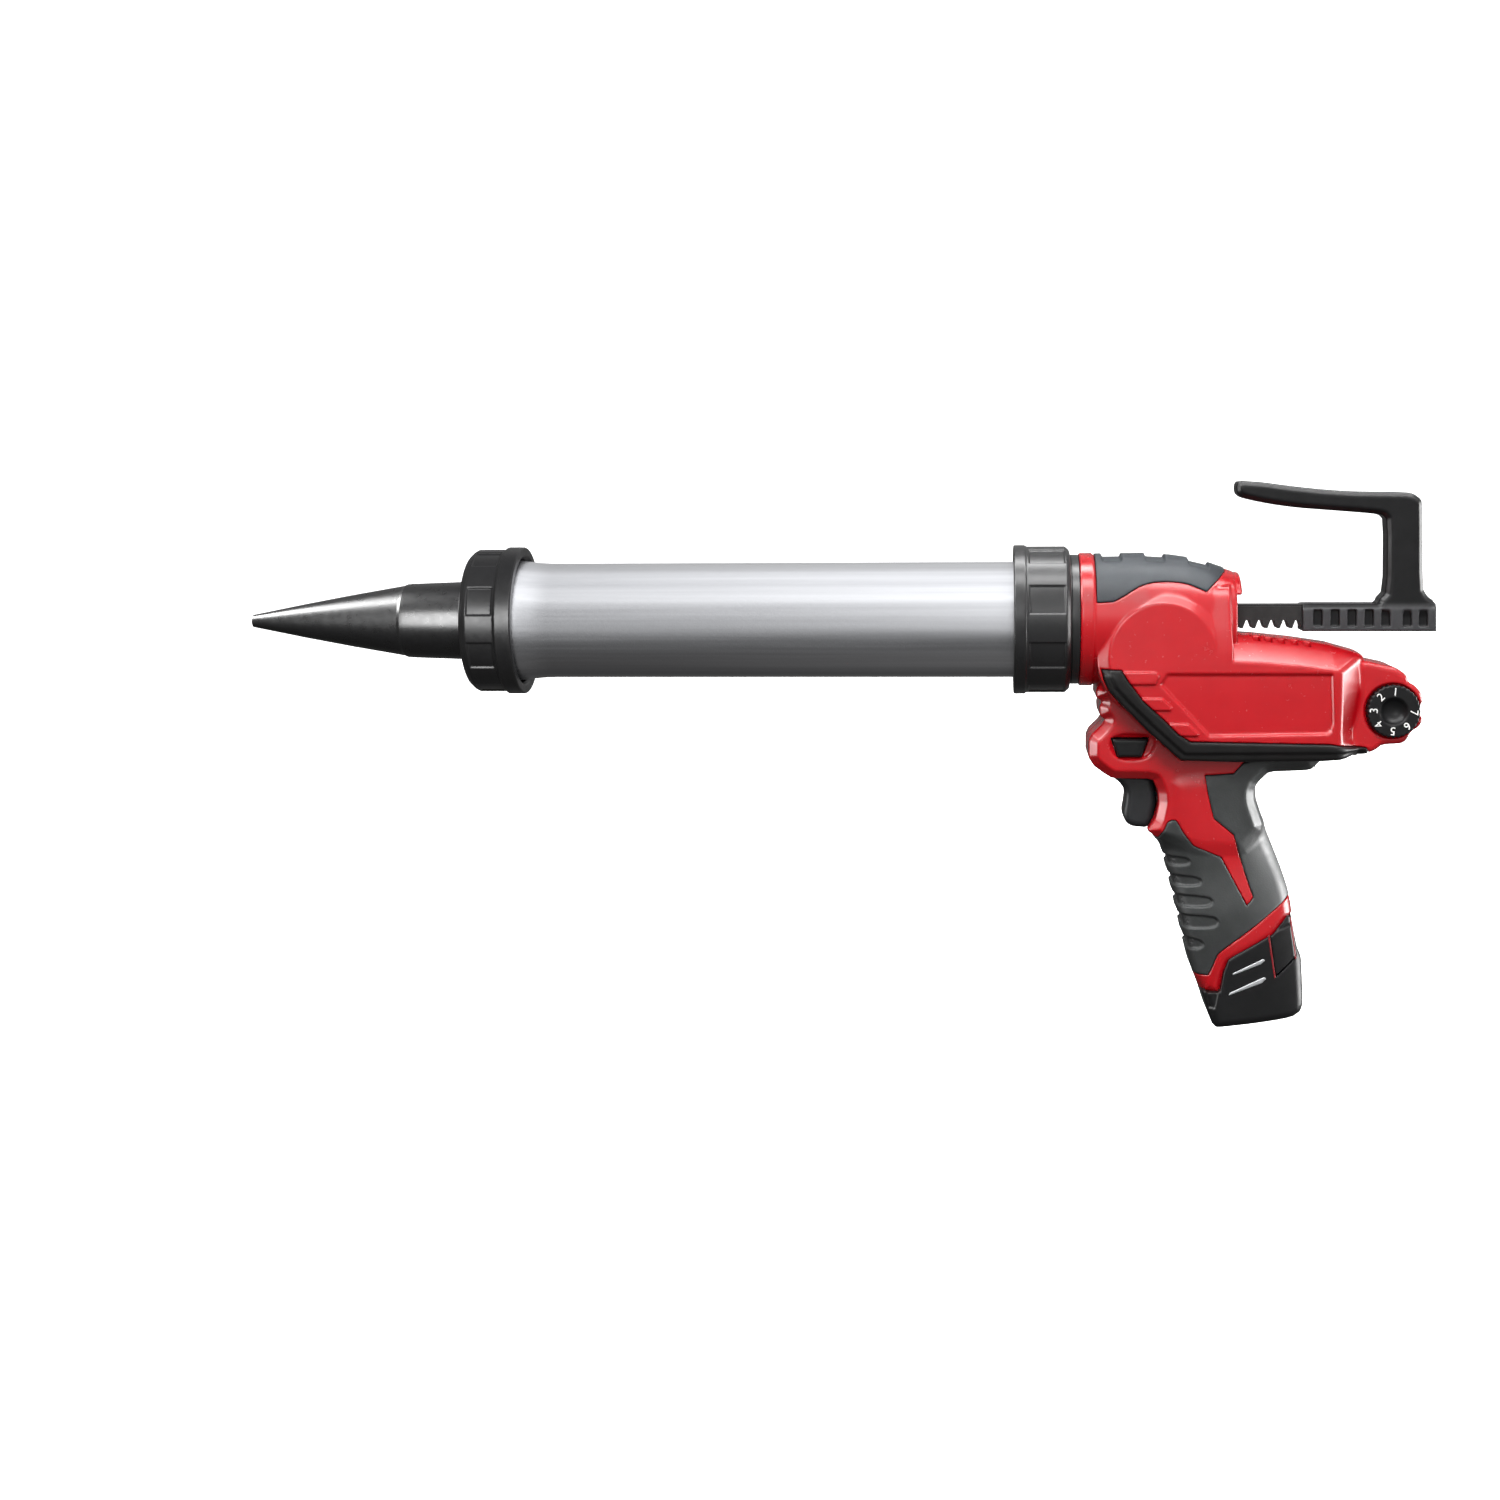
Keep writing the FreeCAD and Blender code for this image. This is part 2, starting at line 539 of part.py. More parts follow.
# ---------------------------------------------------------------- trigger, lock, dial, electrics
trig = GP([(1107, 774), (1118, 781), (1125, 793.6), (1122.5, 812.7), (1126, 822), (1132.6, 826), (1148, 827),
           (1154.6, 818), (1156, 803), (1156, 779), (1150, 775)])
feature("trigger", prism_ch(trig, 9.4, 2.0))
box("switch_module", 156.0, 178.0, -9.0, 9.0, 96.5, 118.5, node=True)
hx = 148.4
coil = Part.makeHelix(1.7, 6.4, 3.0)
prof = Part.Wire(Part.makeCircle(0.4, Vector(3.0, 0, 0), Vector(0, 1, 0)))
spring = Part.Wire(coil.Edges).makePipeShell([prof], True, True)
spring.Placement = Placement(Vector(148.9, 0, 107.5), Rotation(Vector(0, 0, 1), Vector(1, 0, 0)))
feature("trigger_spring", spring)

lock_poly = GP([(1112, 739), (1148.5, 739), (1141.6, 757), (1118, 757)])
pad("lock_button", lock_poly, -21.0, 17.0)

DX, DZ = D("dial_x"), D("dial_height")
dr = D("dial_r")
rev("speed_dial", [(-18.9, 0), (-18.9, 6.2), (-20.3, 6.4), (-20.3, dr - 0.9), (-19.4, dr), (-15.2, dr), (-15.2, 3.0), (-13.8, 0)][:-2]
    + [(-15.2, 0)], base=Vector(DX, 0, DZ), rot=TO_Y)
rev("dial_spindle", [(-15.15, 0), (-15.15, 2.6), (-6.0, 2.6), (-6.0, 0)], base=Vector(DX, 0, DZ), rot=TO_Y)
rev("dial_sensor", [(-9.5, 2.8), (-9.5, 7.0), (-3.0, 7.0), (-3.0, 0), (-5.4, 0), (-5.4, 2.8)], base=Vector(DX, 0, DZ), rot=TO_Y)
box("control_board", 186.0, 221.0, -13.9, 13.9, 124.6, 126.2, node=True)

# ---------------------------------------------------------------- moulded body
motor_poly = GP([(1128, 602), (1233, 632.6), (1250, 633.2), (1289, 637), (1323, 641.8), (1350, 649), (1362, 657), (1367, 672),
                 (1370, 755), (1320, 758), (1180, 759.5), (1150, 733.5), (1123, 707), (1109, 691), (1100, 668)])
chin_poly = GP([(1104, 684), (1096, 694), (1100, 712), (1093, 730), (1087, 742), (1087, 756), (1094, 766), (1110, 777.5),
                (1157, 777.5), (1160, 838), (1230, 850), (1262, 826), (1252, 798), (1254, 787), (1268, 770),
                (1310, 768.6), (1319, 757), (1322, 740), (1170, 684)])
tongue_poly = GP([(1181, 930), (1188, 958), (1199, 986.5), (1218, 987), (1227, 952), (1225, 930)])
lip_poly = GP([(1165, 819), (1147, 829.5), (1158, 838), (1172, 840)])
grip_poly = GP([(1168, 800), (1157, 822), (1158.5, 840), (1165, 865), (1170, 883), (1176, 907), (1182, 934), (1187.5, 956),
                (1226, 956), (1233, 951.5), (1271, 931), (1290, 909), (1287, 892), (1280, 868),
                (1271, 844), (1264, 826), (1255, 808), (1250, 790)])
pod_poly = GP([(1345, 664), (1365, 660), (1376, 663), (1395, 667), (1405, 674), (1408, 682), (1414, 685), (1420, 692),
               (1422, 700), (1421, 710), (1422, 720), (1418, 726), (1410, 731), (1405, 740), (1400, 743), (1380, 744), (1375, 749),
               (1345, 752)])


def upper_profile(t):
    pts = [(112.7, 0.0), (112.7, D("upper_r") - t), (161, D("upper_r") - t), (174, 27.8 - t), (184.2 - t, 22.2 - t),
           (184.2 - t, 0.0)]
    return turned(pts, Vector(0, 0, ZA))


def disc_profile(t):
    h, r = D("disc_half") - t, D("disc_r") - t
    return turned([(-h, 0), (-h, r - 4), (-h + 4, r), (h - 4, r), (h, r - 4), (h, 0)], Vector(D("disc_x"), 0, D("disc_height")), TO_Y)


def solid_body(t):
    parts = [disc_profile(t),
             prism_ch(inset(motor_poly, t), D("motor_half") - t, 5.0),
             prism_ch(inset(chin_poly, t), D("chin_half") - t, 3.5),
             prism_ch(inset(grip_poly, t), D("grip_half") - t, 5.5),
             prism_ch(inset(pod_poly, t), D("pod_half") - t, 2.5),
             prism(inset(lip_poly, t * 0.4), -13.0 + t, 13.0 - t),
             prism_ch(inset(tongue_poly, t), D("grip_half") - t, 1.5)]
    for i, q in enumerate(parts):
        if not q.isValid():
            print("part", i, "unsound at", t)
    return upper_profile(t).fuse(parts).removeSplitter()


outer = solid_body(0.0)
core = solid_body(D("skin"))
print("outer", outer.isValid(), round(outer.Volume), "core", core.isValid(), round(core.Volume), len(outer.Solids))

pad_poly = GP([(1096, 530), (1096.6, 602.7), (1113, 602), (1126.5, 595), (1139, 587.4), (1154.6, 583), (1167, 582.3),
               (1182.7, 583.6), (1194, 586.8), (1207.5, 592.5), (1229.9, 572.7), (1232, 530)])
rail_poly = GP([(1090, 668), (1122, 670), (1128, 681), (1143, 700.6), (1161.5, 716.6), (1177.6, 733.5), (1190, 741),
                (1331, 744.5), (1347, 747), (1371, 751), (1375, 760), (1250, 759.6), (1179, 759.6), (1150, 733.5), (1123, 707),
                (1109, 691), (1103, 678)])
rubber_poly = GP([(1120, 838.5), (1158.5, 837), (1167, 822), (1175.7, 819.4), (1193, 845), (1220.7, 856.7), (1246, 904),
                  (1252, 896), (1239, 855), (1233, 834), (1213, 817.5), (1207, 792), (1204, 760), (1330, 760), (1330, 800),
                  (1300, 890), (1289, 898), (1262, 918), (1225.5, 945), (1217, 952), (1212, 966), (1208, 974.4),
                  (1150, 976)])
top_pad = outer.common(prism(pad_poly, -60, 60)).cut(core)
rail = outer.common(prism(rail_poly, -60, 60)).cut(core)
rubber = outer.common(prism(rubber_poly, -60, 60)).cut(core)

# hollows inside the body
tilt = math.radians(D("grip_tilt"))
e1 = (math.sin(tilt), -math.cos(tilt))
e2 = (math.cos(tilt), math.sin(tilt))
A0 = (183.5, 59.4)


def L(s, u):
    """Point s along the handle axis (down) and u towards its back."""
    return (A0[0] + s * e1[0] + u * e2[0], A0[1] + s * e1[1] + u * e2[1])


def slab(s0, s1, u0, u1, y0, y1):
    return prism([L(s0, u0), L(s1, u0), L(s1, u1), L(s0, u1)], y0, y1)


screws_at = [(120.8, 129.2), (239.6, 130.6), (157.0, 83.5), (183.6, 107.0), (127.4, 158.5)]
hollow = [cyl_x(ZA, 27.4, 112.0, 178.0),
          cyl_y(D("disc_x"), D("disc_height"), 25.5, -27, 27),
          cyl_x(MZ, 20.5, 150.0, 184.3),
          cyl_x(MZ, 18.75, 184.0, 241.2),
          cyl_y(CS_X, MZ, 11.0, -22, 22),
          bx(120, 156.5, -10.2, 10.2, 93.0, 120.5),
          bx(155, 179.0, -9.6, 9.6, 95.8, 119.2),
          bx(165, 232, -14, 14, 122.5, 137),
          prism(inset(lock_poly, -0.5), -60, 60),
          cyl_y(DX, DZ, dr + 0.6, -60, -14.6),
          cyl_y(DX, DZ, 7.1, -15, -2.9),
          slab(-24.0, 80, -18.6, 18.6, -15.8, 15.8),
          slab(-31.0, -23, -14.0, 14.0, -12.0, 12.0),
          bx(171.9, 190, -12.05, 12.05, 183.95, 203.05),
          bx(176, 184, -4, 4, 88, 124)]
hol = hollow[0].fuse(hollow[1:])
scr, scr_holes = [], []
for x, z in screws_at:
    scr.append(cyl_y(x, z, 1.4, -9.0, 10.0).fuse(cyl_y(x, z, 2.7, 9.9, 12.4)).removeSplitter())
    scr_holes.append(cyl_y(x, z, 1.45, -9.2, 10.5).fuse(cyl_y(x, z, 3.0, 9.85, 60)))
shell = outer.cut(hol).cut(scr_holes[0].fuse(scr_holes[1:]))
for om in (top_pad, rail, rubber):
    shell = shell.cut(om)
top_pad = top_pad.cut(hol)
rail = rail.cut(hol).cut(scr_holes[0].fuse(scr_holes[1:]))
rubber = rubber.cut(hol).cut(scr_holes[0].fuse(scr_holes[1:]))
LEFT = bx(-400, 400, -100, 0, -50, 400)
RIGHT = bx(-400, 400, 0, 100, -50, 400)


def biggest(shape, least=20.0):
    s = [q for q in shape.Solids if q.Volume > least]
    return s[0] if len(s) == 1 else Part.makeCompound(s)


feature("housing_left", biggest(shell.common(LEFT)))
feature("housing_right", biggest(shell.common(RIGHT)))
print("top pad pieces", [round(q.Volume, 1) for q in top_pad.Solids])
feature("top_pad", biggest(top_pad))
feature("bumper_left", biggest(rail.common(LEFT)))
feature("bumper_right", biggest(rail.common(RIGHT)))
feature("grip_rubber_left", biggest(rubber.common(LEFT)))
feature("grip_rubber_right", biggest(rubber.common(RIGHT)))
feature("housing_screws", Part.makeCompound(scr))
feature("terminal_block", slab(-30.6, -24.6, -13.6, 13.6, -11.6, 11.6))

# ---------------------------------------------------------------- battery
sh = 0.6
bat_poly = [(x + sh * e1[0], z + sh * e1[1]) for x, z in
            GP([(1199.6, 987), (1209.5, 1019), (1214, 1024.8), (1291, 1015.1), (1302, 1008), (1303, 1003),
                (1302, 958), (1297, 946), (1290, 909), (1271, 931), (1233, 951.5), (1226, 956), (1218, 987)])]
base = prism_ch(bat_poly, D("battery_half"), 3.0)
stem = slab(-22.0, 45.0, -18.0, 18.0, -15.2, 15.2)
cells_room = slab(-23.0, 31.2, -17.0, 13.0, -14.5, 14.5)
case = base.fuse(stem).removeSplitter().cut(cells_room)
tab_poly = GP([(1270.5, 941), (1291, 925), (1296, 957), (1275, 974)])
for y0, y1 in ((-60, -15.6), (15.6, 60)):
    case = case.cut(prism(inset(tab_poly, -0.4), y0, y1))
feature("battery_case", biggest(case))
cl = []
for u, y in ((-9.4, -7.2), (-9.4, 7.2), (4.4, 0.0)):
    x, z = L(-18.4, u)
    cl.append(Part.makeCylinder(7.0, 49.0, Vector(x, y, z), Vector(e1[0], 0, e1[1])))
feature("battery_cells", Part.makeCompound(cl))
cap = slab(-22.0, -19.0, -16.9, 12.9, -14.4, 14.4)
for u in (-10, -2, 6):
    cap = cap.fuse(slab(-22.6, -21.9, u - 2.5, u + 2.5, -6.0, 6.0))
feature("battery_terminals", cap.removeSplitter())
feature("battery_latch_left", prism(tab_poly, -23.6, -18.4))
feature("battery_latch_right", prism(tab_poly, 18.4, 23.6))

# ---------------------------------------------------------------- check, then write
doc.recompute()
bad = []
for o in doc.Objects:
    st = [str(s) for s in o.State]
    if "Invalid" in st or "Error" in st:
        bad.append(o.Name)
for name, o in NODES.items():
    s = o.Shape
    if s.isNull() or not s.isValid() or not s.Solids:
        bad.append(name)
if bad:
    raise RuntimeError("not sound: " + ", ".join(sorted(set(bad))))
os.makedirs("parts", exist_ok=True)
for name, o in sorted(NODES.items()):
    o.Shape.exportStep("parts/%s.step" % name)
print(len(NODES), "sub-parts", "pinion", PIN_X, round(PIN_Z, 3), "counter", round(CS_X, 3), MZ)
allb = FreeCAD.BoundBox()
for o in NODES.values():
    allb.add(o.Shape.BoundBox)
print("box", allb)
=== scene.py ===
import json
import math

import bpy
import numpy as np
from mathutils import Matrix, Vector

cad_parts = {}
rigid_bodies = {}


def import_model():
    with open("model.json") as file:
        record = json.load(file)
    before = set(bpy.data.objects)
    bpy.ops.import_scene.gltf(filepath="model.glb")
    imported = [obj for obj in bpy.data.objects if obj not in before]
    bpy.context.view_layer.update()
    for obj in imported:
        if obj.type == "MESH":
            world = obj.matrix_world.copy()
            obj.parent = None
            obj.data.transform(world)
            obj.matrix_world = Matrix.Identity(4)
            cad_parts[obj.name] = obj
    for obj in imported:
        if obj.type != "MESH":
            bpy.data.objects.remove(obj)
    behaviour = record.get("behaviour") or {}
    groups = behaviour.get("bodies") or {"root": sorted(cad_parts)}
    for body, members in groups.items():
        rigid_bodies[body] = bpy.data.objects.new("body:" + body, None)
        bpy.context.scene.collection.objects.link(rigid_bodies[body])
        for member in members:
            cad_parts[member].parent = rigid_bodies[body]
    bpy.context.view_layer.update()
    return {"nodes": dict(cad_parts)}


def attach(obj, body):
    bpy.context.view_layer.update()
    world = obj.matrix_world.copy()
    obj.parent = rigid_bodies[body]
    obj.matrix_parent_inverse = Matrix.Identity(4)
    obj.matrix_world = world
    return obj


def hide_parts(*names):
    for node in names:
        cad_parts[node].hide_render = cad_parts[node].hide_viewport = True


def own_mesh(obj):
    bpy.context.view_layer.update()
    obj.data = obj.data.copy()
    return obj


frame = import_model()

NODES = frame["nodes"]
MM = 0.001
F = np.float32
STEP = 0.6      # sampling step of the moulded shapes, mm

# ------------------------------------------------------------------ camera
CAM = np.array([70.0, -957.0, 260.0])
AIM = np.array([8.15, 0.0, 180.05])
FPX, PPX, PPY, ROLL = 2041.5, 855.0, 645.0, -0.00667


def cam_axes():
    f = AIM - CAM
    f = f / np.linalg.norm(f)
    r = np.cross(f, [0.0, 0.0, 1.0])
    r = r / np.linalg.norm(r)
    u = np.cross(r, f)
    c, s = math.cos(ROLL), math.sin(ROLL)
    return f, r * c + u * s, u * c - r * s


AX_F, AX_R, AX_U = cam_axes()


def at(px, py, y):
    """X, Z in mm of the point that the camera sees at (px, py) of the 1500 frame, at depth y."""
    d = AX_F * FPX + AX_R * (px - PPX) - AX_U * (py - PPY)
    t = (y - CAM[1]) / d[1]
    q = CAM + d * t
    return (q[0], q[2])


def PY(pts, y):
    return np.array([at(a, b, y) for a, b in pts])


def soft(p, n=2, keep=0.25):
    """Corner cutting, so that an outline runs smooth."""
    p = np.asarray(p, float)
    for _ in range(n):
        q = np.roll(p, -1, axis=0)
        p = np.stack([p * (1 - keep) + q * keep, p * keep + q * (1 - keep)], 1).reshape(-1, 2)
    return p


cam_data = bpy.data.cameras.new("camera")
cam = bpy.data.objects.new("camera", cam_data)
bpy.context.scene.collection.objects.link(cam)
cam_data.sensor_fit = "HORIZONTAL"
cam_data.sensor_width = 36.0
cam_data.lens = FPX * 36.0 / 1500.0
cam_data.shift_x = (750.0 - PPX) / 1500.0
cam_data.shift_y = (PPY - 750.0) / 1500.0
cam_data.clip_start, cam_data.clip_end = 0.01, 50.0
_rot = Matrix((AX_R, AX_U, -AX_F)).transposed()
cam.matrix_world = Matrix.Translation(Vector(CAM * MM)) @ _rot.to_4x4()
bpy.context.scene.camera = cam


# ------------------------------------------------------------------ distance-field tools (mm)
class Poly:
    """Signed distance to a polygon in X, Z, tabulated and read back by interpolation."""

    def __init__(self, pts, res=0.4, pad=7.0):
        p = np.asarray(pts, float)
        lo, hi = p.min(0) - pad, p.max(0) + pad
        n = np.ceil((hi - lo) / res).astype(int) + 2
        gx = lo[0] + res * np.arange(n[0])
        gz = lo[1] + res * np.arange(n[1])
        X, Z = np.meshgrid(gx, gz, indexing="ij")
        X, Z = X.astype(F), Z.astype(F)
        d2 = np.full(X.shape, 1e9, F)
        inside = np.zeros(X.shape, bool)
        for i in range(len(p)):
            a, b = p[i], p[(i + 1) % len(p)]
            e = b - a
            l2 = float(e @ e)
            if l2 < 1e-12:
                continue
            wx, wz = X - F(a[0]), Z - F(a[1])
            t = np.clip((wx * F(e[0]) + wz * F(e[1])) / F(l2), 0, 1)
            d2 = np.minimum(d2, (wx - t * F(e[0])) ** 2 + (wz - t * F(e[1])) ** 2)
            c = ((Z >= a[1]) & (Z < b[1])) | ((Z >= b[1]) & (Z < a[1]))
            if abs(e[1]) > 1e-12:
                inside ^= c & (X < F(a[0]) + (Z - F(a[1])) * F(e[0] / e[1]))
        self.g = (np.sqrt(d2) * np.where(inside, F(-1), F(1))).astype(F)
        self.lo, self.res, self.n = lo, res, n

    def __call__(self, x, z):
        u = (x - F(self.lo[0])) / F(self.res)
        v = (z - F(self.lo[1])) / F(self.res)
        uc = np.clip(u, 0, self.n[0] - 1.01)
        vc = np.clip(v, 0, self.n[1] - 1.01)
        i, j = uc.astype(np.int32), vc.astype(np.int32)
        fu, fv = (uc - i).astype(F), (vc - j).astype(F)
        g = self.g
        out = (g[i, j] * (1 - fu) + g[i + 1, j] * fu) * (1 - fv) + (g[i, j + 1] * (1 - fu) + g[i + 1, j + 1] * fu) * fv
        return out + np.hypot(u - uc, v - vc) * F(self.res)


def rint(a, b, r):
    """Intersection whose edge is rounded by r."""
    return np.minimum(np.maximum(a, b), F(-r)) + np.hypot(np.maximum(a + F(r), 0), np.maximum(b + F(r), 0))


def runi(a, b, r):
    """Union whose inner corner is filled by r."""
    return np.maximum(np.minimum(a, b), F(r)) - np.hypot(np.maximum(F(r) - a, 0), np.maximum(F(r) - b, 0))


def rsub(a, b, r):
    return rint(a, -b, r)


def ramp(d, w):
    """1 where d is well below 0, 0 where it is above, over a width w."""
    t = np.clip(F(0.5) - d / F(w), 0, 1)
    return t * t * (3 - 2 * t)


def boxd(x, y, z, x0, x1, y0, y1, z0, z1, r=0.0):
    cx, cy, cz = (x0 + x1) / 2, (y0 + y1) / 2, (z0 + z1) / 2
    qx = np.abs(x - F(cx)) - F((x1 - x0) / 2 - r)
    qy = np.abs(y - F(cy)) - F((y1 - y0) / 2 - r)
    qz = np.abs(z - F(cz)) - F((z1 - z0) / 2 - r)
    out = np.sqrt(np.maximum(qx, 0) ** 2 + np.maximum(qy, 0) ** 2 + np.maximum(qz, 0) ** 2)
    return out + np.minimum(np.maximum(qx, np.maximum(qy, qz)), 0) - F(r)


def surface(fn, lo, hi, h=None, lip=1.5, snap=3):
    """Vertices and quads of fn = 0 inside a box, by dual cells on a regular grid."""
    h = STEP if h is None else h
    lo, hi = np.asarray(lo, float), np.asarray(hi, float)
    nb = np.ceil((hi - lo) / (8 * h)).astype(int) + 1
    n = nb * 8
    ax = [(lo[k] + h * np.arange(n[k])).astype(F) for k in range(3)]
    bc = [(lo[k] + h * (8 * np.arange(nb[k]) + 3.5)).astype(F) for k in range(3)]
    cx, cy, cz = np.meshgrid(*bc, indexing="ij")
    coarse = fn(cx.ravel(), cy.ravel(), cz.ravel()).reshape(nb).astype(F)
    live = np.abs(coarse) < F(4.0 * h * 1.733 * lip + h)
    S = np.repeat(np.repeat(np.repeat(coarse, 8, 0), 8, 1), 8, 2)
    bi, bj, bk = np.nonzero(live)
    o = np.arange(8)
    for s in range(0, len(bi), 3000):
        a, b, c = bi[s:s + 3000], bj[s:s + 3000], bk[s:s + 3000]
        I = np.broadcast_to((a[:, None] * 8 + o)[:, :, None, None], (len(a), 8, 8, 8)).ravel()
        J = np.broadcast_to((b[:, None] * 8 + o)[:, None, :, None], (len(a), 8, 8, 8)).ravel()
        K = np.broadcast_to((c[:, None] * 8 + o)[:, None, None, :], (len(a), 8, 8, 8)).ravel()
        S[I, J, K] = fn(ax[0][I], ax[1][J], ax[2][K])
    neg = S < 0
    for k in range(3):                       # nothing may touch the sampling box
        sl = [slice(None)] * 3
        for e in (0, -1):
            sl[k] = e
            neg[tuple(sl)] = False
    cnt = np.zeros(tuple(n - 1), np.int8)
    for di in (0, 1):
        for dj in (0, 1):
            for dk in (0, 1):
                cnt += neg[di:n[0] - 1 + di, dj:n[1] - 1 + dj, dk:n[2] - 1 + dk]
    ci, cj, ck = np.nonzero((cnt > 0) & (cnt < 8))
    vid = np.full(tuple(n - 1), -1, np.int32)
    vid[ci, cj, ck] = np.arange(len(ci))
    acc = np.zeros((len(ci), 3), F)
    num = np.zeros(len(ci), F)
    corner = {}
    for di in (0, 1):
        for dj in (0, 1):
            for dk in (0, 1):
                corner[di, dj, dk] = S[ci + di, cj + dj, ck + dk]
    for d in range(3):
        for p in (0, 1):
            for q in (0, 1):
                a = [p, q]
                a.insert(d, 0)
                b = [p, q]
                b.insert(d, 1)
                fa, fb = corner[tuple(a)], corner[tuple(b)]
                x = (fa < 0) != (fb < 0)
                t = np.where(x, fa / np.where(np.abs(fa - fb) < 1e-9, F(1), fa - fb), F(0))
                t = np.clip(t, 0, 1)
                for k in range(3):
                    acc[:, k] += np.where(x, F(a[k]) + t * F(b[k] - a[k]), F(0))
                num += x
    v = np.stack([ci, cj, ck], 1).astype(F) + acc / np.maximum(num, 1)[:, None]
    v = (v * F(h) + lo.astype(F)).astype(F)
    home = v.copy()
    e = F(0.12)
    for _ in range(snap):
        x, y, z = v[:, 0], v[:, 1], v[:, 2]
        f0 = fn(x, y, z)
        g = np.stack([fn(x + e, y, z) - fn(x - e, y, z), fn(x, y + e, z) - fn(x, y - e, z),
                      fn(x, y, z + e) - fn(x, y, z - e)], 1) / (2 * e)
        l2 = np.maximum((g * g).sum(1), F(0.09))
        step = -(f0 / l2)[:, None] * g
        ln = np.linalg.norm(step, axis=1)
        step *= np.minimum(1, F(0.45 * h) / np.maximum(ln, 1e-9))[:, None]
        v = v + step
        off = v - home
        ln = np.linalg.norm(off, axis=1)
        v = home + off * np.minimum(1, F(0.8 * h) / np.maximum(ln, 1e-9))[:, None]
    quads = []
    for d in range(3):
        a = [slice(1, n[k] - 1) for k in range(3)]
        a[d] = slice(0, n[d] - 1)
        b = list(a)
        b[d] = slice(1, n[d])
        s0, s1 = neg[tuple(a)], neg[tuple(b)]
        i, j, k = np.nonzero(s0 != s1)
        flip = s0[i, j, k]
        base = [i + (0 if d == 0 else 1), j + (0 if d == 1 else 1), k + (0 if d == 2 else 1)]
        o1, o2 = [(1, 2), (2, 0), (0, 1)][d]
        ring = []
        for p, q in ((1, 1), (0, 1), (0, 0), (1, 0)):
            c = [w.copy() for w in base]
            c[o1] = c[o1] - p
            c[o2] = c[o2] - q
            ring.append(vid[c[0], c[1], c[2]])
        ring = np.stack(ring, 1)
        ring[~flip] = ring[~flip][:, ::-1]
        quads.append(ring)
    quads = np.concatenate(quads)
    quads = quads[(quads >= 0).all(1)]
    return v, quads


def mesh_obj(name, v, faces, body, mat, stands_for=(), smooth=True):
    """A piece from vertices in mm and quads or triangles."""
    me = bpy.data.meshes.new(name)
    v = np.asarray(v, F)
    faces = np.asarray(faces, np.int32)
    k = faces.shape[1]
    me.vertices.add(len(v))
    me.vertices.foreach_set("co", (v * F(MM)).ravel())
    me.loops.add(len(faces) * k)
    me.loops.foreach_set("vertex_index", faces.ravel())
    me.polygons.add(len(faces))
    me.polygons.foreach_set("loop_start", np.arange(len(faces), dtype=np.int32) * k)
    me.polygons.foreach_set("loop_total", np.full(len(faces), k, np.int32))
    me.update(calc_edges=True)
    me.validate()
    me.polygons.foreach_set("use_smooth", np.full(len(me.polygons), smooth))
    ob = bpy.data.objects.new(name, me)
    bpy.context.scene.collection.objects.link(ob)
    me.materials.append(mat)
    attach(ob, body)
    if stands_for:
        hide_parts(*stands_for)
    return ob


def moulded(name, fn, lo, hi, body, mat, stands_for=(), h=None, lip=1.5):
    v, q = surface(fn, lo, hi, h, lip)
    return mesh_obj(name, v, q, body, mat, stands_for)


def turned(name, profile, body, mat, stands_for=(), seg=160, axis_z=192.0, round_r=0.5, closed=True):
    """Ring turned about the barrel axis from an (x, r) outline whose corners are rounded."""
    p = np.asarray(profile, float)
    pts = []
    m = len(p)
    for i in range(m):
        a, b, c = p[i - 1], p[i], p[(i + 1) % m]
        if not closed and i in (0, m - 1):
            pts.append(b)
            continue
        u, w = a - b, c - b
        lu, lw = np.linalg.norm(u), np.linalg.norm(w)
        cosang = float(np.clip((u @ w) / (lu * lw), -1, 1))
        if cosang < -0.995:
            pts.append(b)
            continue
        half = math.acos(cosang) / 2
        cut = min(round_r / math.tan(half), 0.42 * lu, 0.42 * lw)
        s, t = b + u / lu * cut, b + w / lw * cut
        for k in range(5):
            f = k / 4.0
            pts.append((1 - f) ** 2 * s + 2 * f * (1 - f) * b + f * f * t)
    p = np.array(pts)
    m = len(p)
    an = 2 * np.pi * np.arange(seg) / seg
    v = np.zeros((m, seg, 3))
    v[:, :, 0] = p[:, :1]
    v[:, :, 1] = p[:, 1:] * np.cos(an)
    v[:, :, 2] = axis_z + p[:, 1:] * np.sin(an)
    i, j = np.meshgrid(np.arange(m if closed else m - 1), np.arange(seg), indexing="ij")
    i2, j2 = (i + 1) % m, (j + 1) % seg
    q = np.stack([i * seg + j, i2 * seg + j, i2 * seg + j2, i * seg + j2], -1).reshape(-1, 4)
    area = sum(p[k, 0] * p[(k + 1) % m, 1] - p[(k + 1) % m, 0] * p[k, 1] for k in range(m))
    if area < 0:
        q = q[:, ::-1]
    return mesh_obj(name, v.reshape(-1, 3), q, body, mat, stands_for)


# ------------------------------------------------------------------ materials
def new_mat(name):
    m = bpy.data.materials.new(name)
    m.use_nodes = True
    nt = m.node_tree
    b = nt.nodes["Principled BSDF"]
    tc = nt.nodes.new("ShaderNodeTexCoord")
    return m, nt, b, tc.outputs["Object"]


